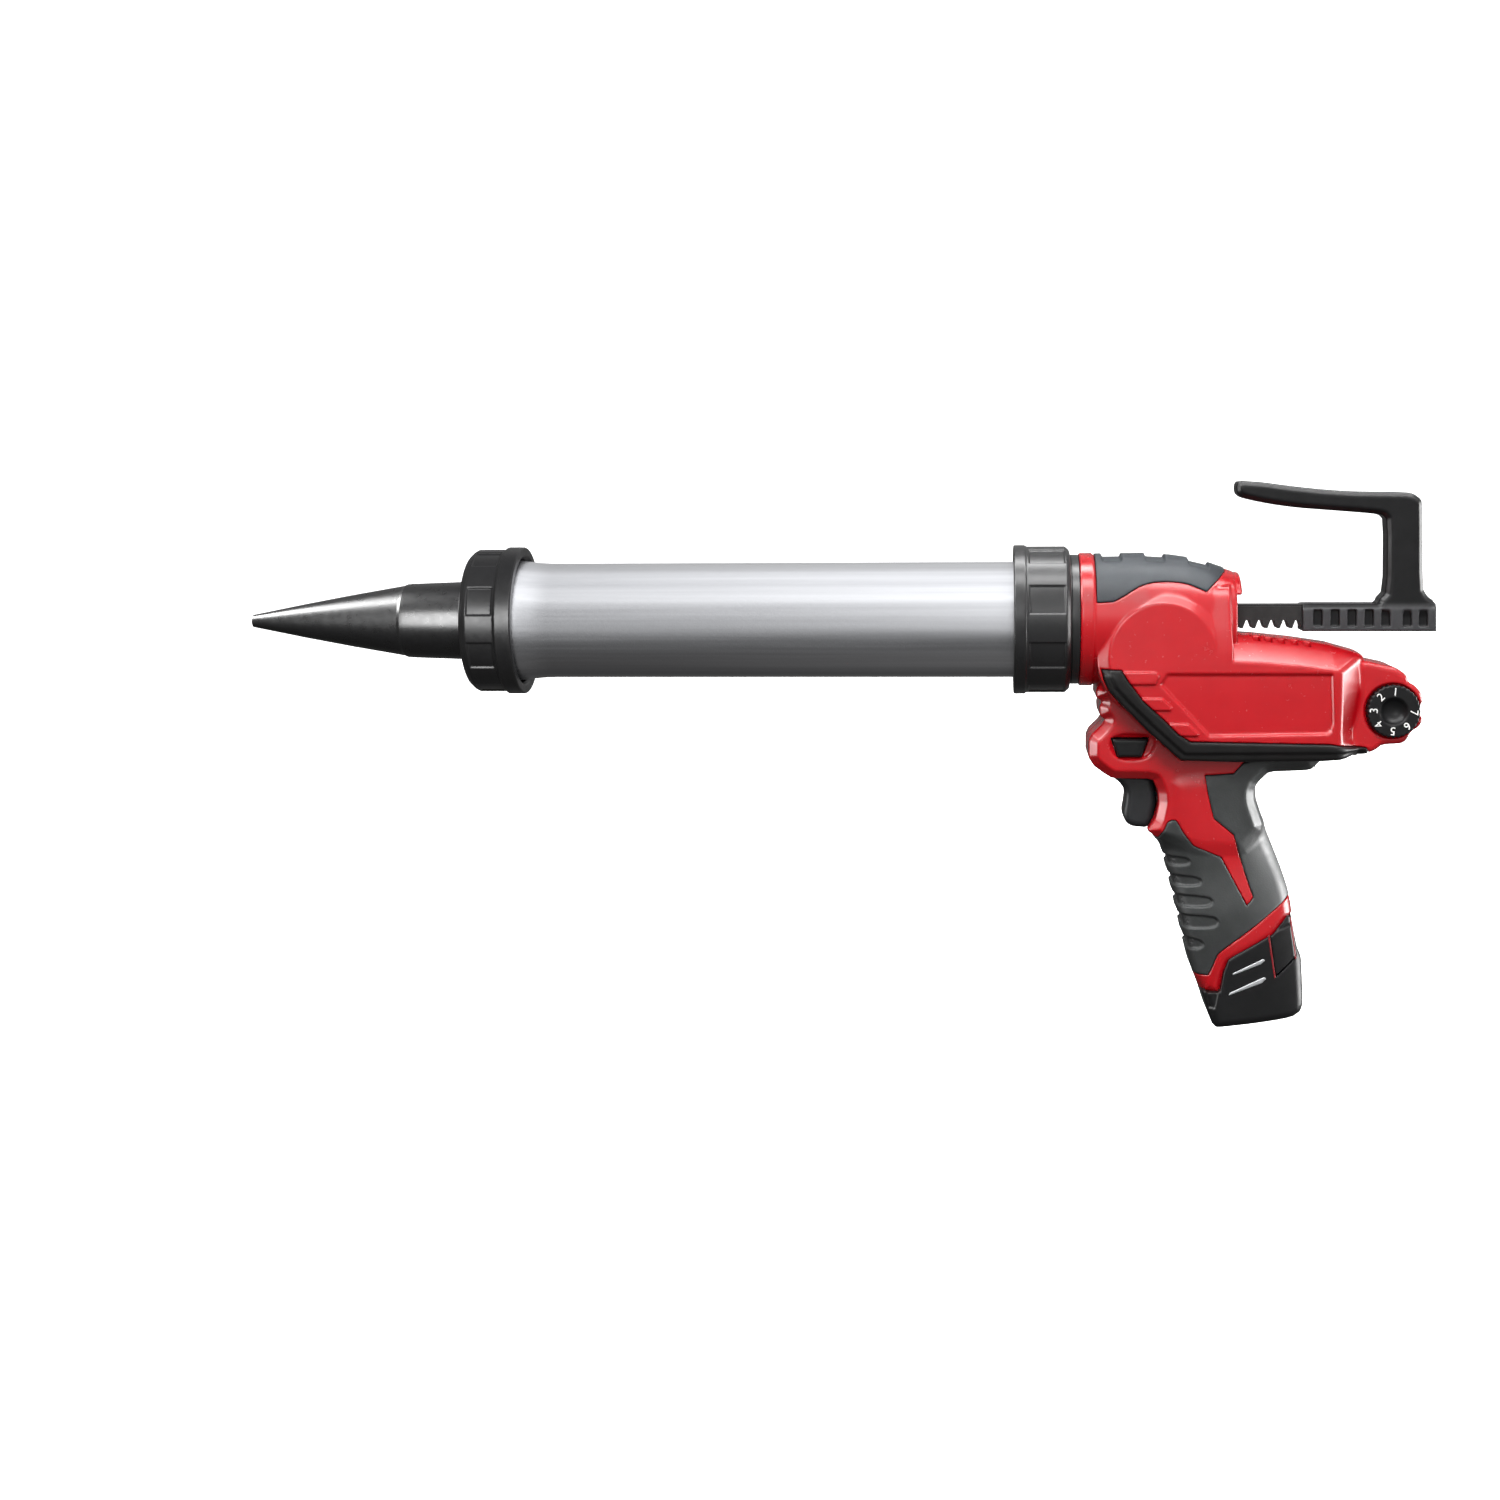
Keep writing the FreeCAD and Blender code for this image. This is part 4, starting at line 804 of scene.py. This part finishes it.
moulded("battery_latch_trim", latch_well, (194, -25, 16), (220, 25, 56), "battery", DARK_RED, (), h=min(STEP, 0.3))
for s, nm in ((-1, "left"), (1, "right")):
    ylo, yhi = (-25, -14) if s < 0 else (14, 25)
    moulded("latch_%s_tab" % nm, latch(s), (196, ylo, 20), (218, yhi, 52), "latch_" + nm, BLACK,
            ("battery_latch_" + nm,), h=min(STEP, 0.5))

# ------------------------------------------------------------------ trigger, lock button
TRIGO = Poly(soft(PY([(1106, 772), (1112.5, 777), (1119, 782), (1123.5, 788), (1125.5, 794), (1124.5, 803), (1122.8, 812), (1123.5, 818),
                      (1127, 823.5), (1133, 826.5), (1148, 827.5), (1153, 818), (1156, 803), (1155.5, 790), (1152, 774)], -7.0), 1, 0.2))


def trigger(x, y, z):
    ay = np.abs(y)
    return rint(TRIGO(x, z), ay - F(9.5) - F(0.0), 3.2)


moulded("trigger_lever", trigger, (120, -11, 90), (152, 11, 122), "trigger", TRIG, ("trigger",), h=min(STEP, 0.5))


def lock(x, y, z):
    d = rint(LOCK(x, z) + F(0.1), np.abs(y + F(1.9)) - F(19.0), 1.2)
    return d


moulded("lock_slider", lock, (122, -23, 122), (150, 19, 140), "lock_button", BLACK, ("lock_button",), h=min(STEP, 0.5))

# ------------------------------------------------------------------ pull handle
BLK = Poly(PY([(1303, 604), (1437, 604), (1437, 631.5), (1303, 631.5)], -9.0))
BLK_F = Poly(PY([(1306.5, 606.5), (1394, 606.5), (1394, 629.5), (1306.5, 629.5)], -9.0))
HOOK = Poly(soft(PY([(1239, 480.5), (1262, 482), (1280, 484.5), (1300, 487), (1320, 489), (1340, 490.5), (1360, 491.5), (1406, 492),
                     (1413.5, 493.5), (1421, 499), (1422.5, 505), (1422.5, 588), (1427, 596), (1434, 601), (1434, 616), (1378, 616),
                     (1378, 600), (1386.5, 591), (1387, 520), (1382, 514.5), (1360, 512.5), (1340, 511), (1320, 509.5), (1300, 508),
                     (1280, 505.5), (1260, 502), (1241, 497.5), (1236.5, 493), (1236, 485)], -5.0), 1, 0.2))
BLK_TOP = at(1370.0, 604.0, -9.0)[1]
POCK = [at(px, 617.5, -9.0) for px in (1318.0, 1335.2, 1352.2, 1369.3, 1386.0)]
POCK2 = [at(px, 617.5, -9.0) for px in (1407.5, 1423.5)]


def handle(x, y, z):
    ay = np.abs(y)
    b = rint(BLK(x, z), ay - F(8.9), 0.9)
    b = rint(b, (z - F(BLK_TOP) + ay - F(8.9) + F(2.4)) * F(0.7071), 0.6)
    for px, pz in POCK + POCK2:
        b = rsub(b, boxd(x, ay, z, px - 2.05, px + 2.05, 7.0, 12.0, pz - 4.2, pz + 3.7, 0.7), 0.4)
    hk = HOOK(x, z)
    h = rint(rint(hk, ay - F(7.9), 0.5), (hk + ay - F(7.9) + F(2.2)) * F(0.7071), 0.5)
    b = runi(b, h, 1.6)
    return rsub(b, boxd(x, y, z, 214.0, 263.0, -5.6, 5.6, 187.9, 199.1), 0.2)


moulded("pull_handle_hook", handle, (180, -11, 182), (284, 11, 260), "rack", HANDLE, ("pull_handle",),
        h=min(STEP, 0.5))


# ------------------------------------------------------------------ nut and collar
def grip_ring(x0, x1, r_in, prof, band, sunk, turn, flip=False):
    """Turned ring with alternating raised and sunk pads over an X band."""
    px, pr = np.array(prof).T

    def fn(x, y, z):
        rr = np.hypot(y, z - F(ZA))
        an = np.degrees(np.arctan2(z - F(ZA), y)) - F(turn)
        a = np.abs(np.mod(an, 45.0) - 22.5)            # 0 in the middle of a sunk pad
        d = (a - F(11.25)) * rr * F(math.pi / 180)
        inb = np.maximum(d, np.maximum(F(band[0]) - x, x - F(band[1])))
        lim = np.interp(x, px, pr).astype(F) - F(sunk) * ramp(inb, 0.7)
        f = rint((rr - lim) * F(0.93), np.maximum(F(x0) - x, x - F(x1)), 0.7)
        return rint(f, np.interp(x, *r_in).astype(F) - rr, 0.4)
    return fn


moulded("front_nut_ring", grip_ring(-173.6, -148.5, ([-175, -170.7, -170.6, -150.5, -148.5], [18.8, 18.8, 29.3, 29.3, 30.6]),
                                    [(-173.6, 30.6), (-171.2, 32.9), (-169.8, 33.7), (-156.8, 33.7), (-155.9, 34.8), (-148.5, 34.8)],
                                    (-169.2, -157.6), 0.85, 3.0),
        (-176, -37, 155), (-146, 37, 229), "nut", RINGS, ("front_nut",), h=min(STEP, 0.5))
moulded("rear_collar_ring", grip_ring(82.5, 108.5, ([80, 86.6, 86.7, 110], [27.6, 27.6, 30.7, 30.7]),
                                      [(82.5, 34.8), (87.7, 34.8), (88.5, 34.1), (106.4, 34.1), (108.5, 32.3)],
                                      (89.6, 105.8), 0.85, 3.0),
        (80, -37, 155), (111, 37, 229), "collar", RINGS, ("rear_collar",), h=min(STEP, 0.5))

# ------------------------------------------------------------------ turned pieces
turned("nozzle_cone", [(-280.97, 2.95), (-255.7, 8.0), (-232, 12.4), (-206.6, 16.75), (-205.2, 17.4), (-203, 17.6), (-180, 18.4), (-170, 18.4), (-170, 27.3),
                       (-167.6, 27.3), (-167.6, 22.0), (-171.5, 17.0), (-182, 16.4), (-203, 15.2), (-232, 10.2),
                       (-255.7, 5.9), (-274.5, 2.3), (-280.97, 2.3)], "nozzle", NOZZ, ("nozzle",), round_r=0.35)
turned("barrel_sleeve", [(-166, 25.4), (-166, 28.8), (-153, 28.8), (-150, 28.3), (-145, 27.75), (-141, 27.35), (-137, 27.1), (-133, 27.0), (87, 27.0), (87, 29.4),
                         (91.2, 29.4), (91.2, 25.4)], "barrel", TUBE, ("barrel_tube",), round_r=0.5, seg=220)
turned("mount_ring", [(91.6, 24.0), (91.6, 30.0), (108.9, 30.0), (109.2, 30.2), (112.6, 30.2), (112.6, 27.3), (122, 27.3), (122, 10.5),
                      (114, 10.5), (111, 24.0)], "body", RINGS, ("barrel_mount",), round_r=0.4)

# ------------------------------------------------------------------ speed dial
def dial(x, y, z):
    rd = np.hypot(x - F(255.0), z - F(151.0))
    an = np.arctan2(z - F(151.0), x - F(255.0))
    edge = rd - F(11.9) - F(0.22) * np.cos(an * F(32.0))
    d = rint(edge, np.abs(y + F(17.7)) - F(2.55), 0.7)
    bowl = np.sqrt((x - F(255.0)) ** 2 + (z - F(151.0)) ** 2 + (y + F(23.6)) ** 2) - F(7.2)
    d = rsub(d, bowl, 0.5)
    return d


moulded("dial_knob", dial, (240, -22, 136), (270, -13, 166), "speed_dial", BLACK, ("speed_dial",), h=min(STEP, 0.35))
for i in range(7):
    a = math.radians(87.0 + 45.0 * i)
    cu = bpy.data.curves.new("numeral_%d" % (i + 1), "FONT")
    cu.body = str(i + 1)
    cu.size = 0.0053
    cu.align_x, cu.align_y = "CENTER", "CENTER"
    cu.extrude = 0.00016
    tmp = bpy.data.objects.new("tmp_numeral", cu)
    bpy.context.scene.collection.objects.link(tmp)
    bpy.context.view_layer.update()
    me = bpy.data.meshes.new_from_object(tmp.evaluated_get(bpy.context.evaluated_depsgraph_get()))
    bpy.data.objects.remove(tmp)
    rot = Matrix.Rotation(a - math.pi / 2, 4, "Y").inverted() @ Matrix.Rotation(math.pi / 2, 4, "X")
    pos = Matrix.Translation(Vector((0.255 + 0.0089 * math.cos(a), -0.02030, 0.151 + 0.0088 * math.sin(a))))
    me.transform(pos @ rot)
    ob = bpy.data.objects.new("dial_numeral_%d" % (i + 1), me)
    bpy.context.scene.collection.objects.link(ob)
    me.materials.clear()
    me.materials.append(WHITE)
    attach(ob, "speed_dial")

def coil(name, x0, length, pitch, radius, wire, z0, body, mat, stands_for, seg=28, ring=10):
    """A round-wire spring along X."""
    turns = length / pitch
    n = int(seg * turns) + 1
    t = np.linspace(0.0, turns * 2 * np.pi, n)
    out = np.stack([np.zeros(n), np.cos(t), np.sin(t)], -1)
    run = np.stack([np.full(n, pitch / (2 * np.pi)), -radius * np.sin(t), radius * np.cos(t)], -1)
    run /= np.linalg.norm(run, axis=1)[:, None]
    side = np.cross(run, out)
    mid = np.stack([x0 + pitch * t / (2 * np.pi), radius * np.cos(t), z0 + radius * np.sin(t)], -1)
    a = np.linspace(0.0, 2 * np.pi, ring, endpoint=False)[None, :, None]
    v = (mid[:, None] + wire * (np.cos(a) * out[:, None] + np.sin(a) * side[:, None])).reshape(-1, 3)
    i, j = np.meshgrid(np.arange(n - 1), np.arange(ring), indexing="ij")
    j2 = (j + 1) % ring
    q = np.stack([i * ring + j, i * ring + j2, (i + 1) * ring + j2, (i + 1) * ring + j], -1).reshape(-1, 4)
    f = np.concatenate([q[:, [0, 1, 2]], q[:, [0, 2, 3]]])
    k = np.arange(1, ring - 1)
    z = np.zeros_like(k)
    e = (n - 1) * ring
    f = np.concatenate([f, np.stack([z, k + 1, k], -1), np.stack([z + e, k + e, k + 1 + e], -1)])
    if np.einsum("ij,ij->i", v[f[:, 0]], np.cross(v[f[:, 1]], v[f[:, 2]])).sum() < 0:
        f = f[:, ::-1]
    return mesh_obj(name, v, f, body, mat, stands_for)


spring = coil("trigger_coil", 148.9, 6.4, 1.7, 3.0, 0.4, 107.5, "body", STEEL, ("trigger_spring",))
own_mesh(spring)

# ------------------------------------------------------------------ finish of the pieces kept as they are
give(OXIDE, "rack")
give(STEEL, "main_shaft", "rack_pinion", "clutch_gear", "clutch_sleeve", "countershaft", "counter_pinion", "bevel_gear", "bevel_pinion",
     "planet_carrier", "planet_gear_a", "planet_gear_b", "planet_gear_c", "sun_gear", "ring_gear", "gear_plate_left",
     "gear_plate_right", "shaft_bearings", "motor_shaft", "armature", "motor_magnets", "motor_can", "handle_pins", "housing_screws",
     "piston_screw")
give(BRASS, "motor_bushes", "battery_terminals")
give(ALU_T, "piston")
give(SEAL, "piston_seal", "nozzle_gasket")
give(BLACK, "rack_guide", "switch_module", "motor_end_cap", "terminal_block", "dial_spindle", "dial_sensor")
give(BOARD, "control_board")
give(CELL, "battery_cells")

# ------------------------------------------------------------------ stage and light
bpy.context.scene.view_settings.view_transform = "Standard"
bpy.context.scene.view_settings.look = "None"

FLOOR = 0.085  # leaves room below for the battery to slide out
me = bpy.data.meshes.new("sweep")
prof = [(0.0, 0.0), (1.0, 0.0), (2.5, 0.0), (4.0, 0.0)] + [(4.0 + 2.0 * math.sin(t), 2.0 - 2.0 * math.cos(t)) for t in np.linspace(0.1, math.pi / 2, 14)] + [(6.0, 7.0)]
k, seg = len(prof), 72
vs = [(r * math.cos(2 * math.pi * j / seg), r * math.sin(2 * math.pi * j / seg), z - FLOOR) for j in range(seg) for r, z in prof[1:]] + [(0, 0, -FLOOR)]
fs = [(j * (k - 1) + i, j * (k - 1) + i + 1, ((j + 1) % seg) * (k - 1) + i + 1, ((j + 1) % seg) * (k - 1) + i) for j in range(seg) for i in range(k - 2)]
fs += [(len(vs) - 1, j * (k - 1), ((j + 1) % seg) * (k - 1)) for j in range(seg)]
me.from_pydata(vs, [], [f[::-1] for f in fs])
for p in me.polygons:
    p.use_smooth = True
floor = bpy.data.objects.new("floor_sweep", me)
bpy.context.scene.collection.objects.link(floor)
fm = plastic("floor_paint", (0.90, 0.90, 0.90), (0.92, 0.92, 0.92), 0.75, 0.85, grain=300, strength=0.02, tone=3.0, spec=0.1)
fm.node_tree.nodes["Principled BSDF"].inputs["Emission Color"].default_value = (1.0, 1.0, 1.0, 1)
fm.node_tree.nodes["Principled BSDF"].inputs["Emission Strength"].default_value = 0.55
me.materials.append(fm)
floor.visible_diffuse = False
floor.visible_glossy = False
floor.visible_shadow = False

world = bpy.data.worlds.new("studio")
bpy.context.scene.world = world
world.use_nodes = True
wn = world.node_tree
wt = wn.nodes.new("ShaderNodeTexCoord")
ws = wn.nodes.new("ShaderNodeSeparateXYZ")
wr = wn.nodes.new("ShaderNodeValToRGB")
wm = wn.nodes.new("ShaderNodeMapRange")
wm.inputs["From Min"].default_value = -1.0
wn.links.new(wt.outputs["Generated"], ws.inputs["Vector"])
wn.links.new(ws.outputs["Z"], wm.inputs["Value"])
wn.links.new(wm.outputs["Result"], wr.inputs["Fac"])
cr = wr.color_ramp
cr.elements[0].position, cr.elements[0].color = 0.0, (0.07, 0.067, 0.065, 1)
cr.elements[1].position, cr.elements[1].color = 1.0, (0.20, 0.20, 0.21, 1)
for pos, v in ((0.08, 0.08), (0.21, 0.14), (0.33, 0.16), (0.5, 0.24), (0.67, 0.42), (0.82, 0.55), (0.93, 0.35)):
    el = cr.elements.new(pos)
    el.color = (v, v, v, 1)


def world_range(out, a, b, lo, hi):
    m = wn.nodes.new("ShaderNodeMapRange")
    m.interpolation_type = "SMOOTHSTEP"
    m.inputs["From Min"].default_value, m.inputs["From Max"].default_value = a, b
    m.inputs["To Min"].default_value, m.inputs["To Max"].default_value = lo, hi
    wn.links.new(out, m.inputs["Value"])
    return m.outputs["Result"]


def world_times(p, q):
    m = wn.nodes.new("ShaderNodeMath")
    m.operation = "MULTIPLY"
    wn.links.new(p, m.inputs[0])
    if isinstance(q, float):
        m.inputs[1].default_value = q
    else:
        wn.links.new(q, m.inputs[1])
    return m.outputs["Value"]


wx = world_range(ws.outputs["X"], -0.55, 0.12, 0.45, 1.0)
wy = world_range(ws.outputs["Y"], -0.1, 0.5, 1.0, 0.5)
wn.links.new(wr.outputs["Color"], wn.nodes["Background"].inputs["Color"])
wn.links.new(world_times(world_times(wx, wy), 2.1), wn.nodes["Background"].inputs["Strength"])

only_floor = bpy.data.collections.new("only_floor")
only_floor.objects.link(floor)


def area(name, loc, target, sx, sy, power, only=None, diffuse=True, gloss=True):
    d = bpy.data.lights.new(name, "AREA")
    d.shape = "RECTANGLE"
    d.size, d.size_y = sx, sy
    d.energy = power
    o = bpy.data.objects.new(name, d)
    bpy.context.scene.collection.objects.link(o)
    o.location = loc
    o.rotation_euler = (Vector(target) - Vector(loc)).to_track_quat("-Z", "Y").to_euler()
    if only:
        o.light_linking.receiver_collection = only
    o.visible_diffuse = diffuse
    o.visible_glossy = gloss
    return o


tube_only = bpy.data.collections.new("tube_only")
nozzle_only = bpy.data.collections.new("nozzle_only")
grip_only = bpy.data.collections.new("grip_only")
ring_only = bpy.data.collections.new("ring_only")
body_only = bpy.data.collections.new("body_only")
lit = bpy.data.collections.new("lit")
LINKED = {"barrel_sleeve": tube_only, "nozzle_cone": nozzle_only, "front_nut_ring": ring_only}
for o in bpy.context.scene.objects:
    if o.type == "MESH" and o is not floor:
        LINKED.get(o.name, body_only).objects.link(o)
        if o.name.startswith("grip_"):
            grip_only.objects.link(o)
        lit.objects.link(o)
area("key_soft", (0.10, -0.85, 1.10), (0.12, 0.0, 0.16), 0.5, 0.5, 16.0, lit, gloss=False)
area("fill_front", (0.2, -2.0, 0.8), (0.1, 0.0, 0.16), 2.0, 1.6, 15.0, lit, gloss=False)
area("fill_back", (0.0, 2.0, 0.9), (0.1, 0.0, 0.16), 2.0, 1.6, 34.0, lit, gloss=False)
area("fill_top", (0.0, 0.0, 2.3), (0.05, 0.0, 0.18), 2.4, 2.0, 6.0, lit, gloss=False)
area("top_strip_back", (0.1, 0.28, 1.6), (0.1, 0.0, 0.18), 2.2, 0.30, 44.0, body_only, diffuse=False)
area("top_strip_front", (0.1, -0.50, 1.5), (0.1, 0.0, 0.18), 2.2, 0.30, 32.0, body_only, diffuse=False)
area("front_box", (-0.35, -1.9, 0.75), (0.0, 0.0, 0.18), 0.9, 0.5, 8.0, body_only, diffuse=False)
area("side_strip", (1.7, 0.25, 0.12), (0.2, 0.0, 0.14), 1.0, 0.9, 46.0, body_only, diffuse=False)
area("side_soft", (1.7, -0.05, 0.10), (0.2, 0.0, 0.10), 0.7, 1.0, 42.0, grip_only, diffuse=False)
area("left_strip", (-1.7, -0.25, 0.20), (0.0, 0.0, 0.16), 0.5, 1.0, 20.0, body_only, diffuse=False)
area("left_top_strip", (-1.15, -0.55, 1.30), (0.1, 0.0, 0.18), 0.8, 0.6, 32.0, body_only, diffuse=False)
area("ring_front", (-0.2, -1.8, 0.45), (-0.05, 0.0, 0.19), 1.7, 0.9, 52.0, ring_only, diffuse=False)
# long strips round the barrel: angle up from the front, width, where left and right meet, strength right and left
for i, (deg, w, edge, right, left) in enumerate(((-8.0, 0.80, -0.02, 1.95, 0.42), (21.0, 0.80, -0.04, 3.00, 0.16),
                                                 (60.0, 1.35, -0.34, 2.35, 0.48), (100.0, 0.95, -0.36, 2.00, 0.90),
                                                 (134.0, 0.95, -0.40, 0.75, 0.45), (172.0, 0.95, -0.40, 0.55, 0.55),
                                                 (-85.0, 1.90, -0.25, 0.13, 0.0))):
    a = math.radians(deg)
    for side, x, length, level in (("right", edge + 1.4, 2.8, right), ("left", edge - 1.2, 2.4, left)):
        if level > 0.0:
            area("tube_%s_%d" % (side, i), (x, -1.7 * math.cos(a), 0.19 + 1.7 * math.sin(a)), (x, 0.0, 0.19), length, w,
                 4.0 * level * length * w, tube_only)
area("nozzle_strip", (-1.55, -0.12, 1.3), (-0.24, 0.0, 0.19), 0.9, 1.1, 95.0, nozzle_only, diffuse=False)
area("nozzle_front", (-0.72, -1.8, 0.45), (-0.18, 0.0, 0.19), 0.6, 1.3, 48.0, nozzle_only, diffuse=False)
area("floor_wash", (0.0, -0.6, 3.2), (0.0, 0.6, 0.0), 5.0, 4.0, 330.0, only_floor)
area("wall_wash", (0.0, -1.2, 1.6), (0.0, 2.4, 1.3), 5.0, 2.0, 260.0, only_floor)
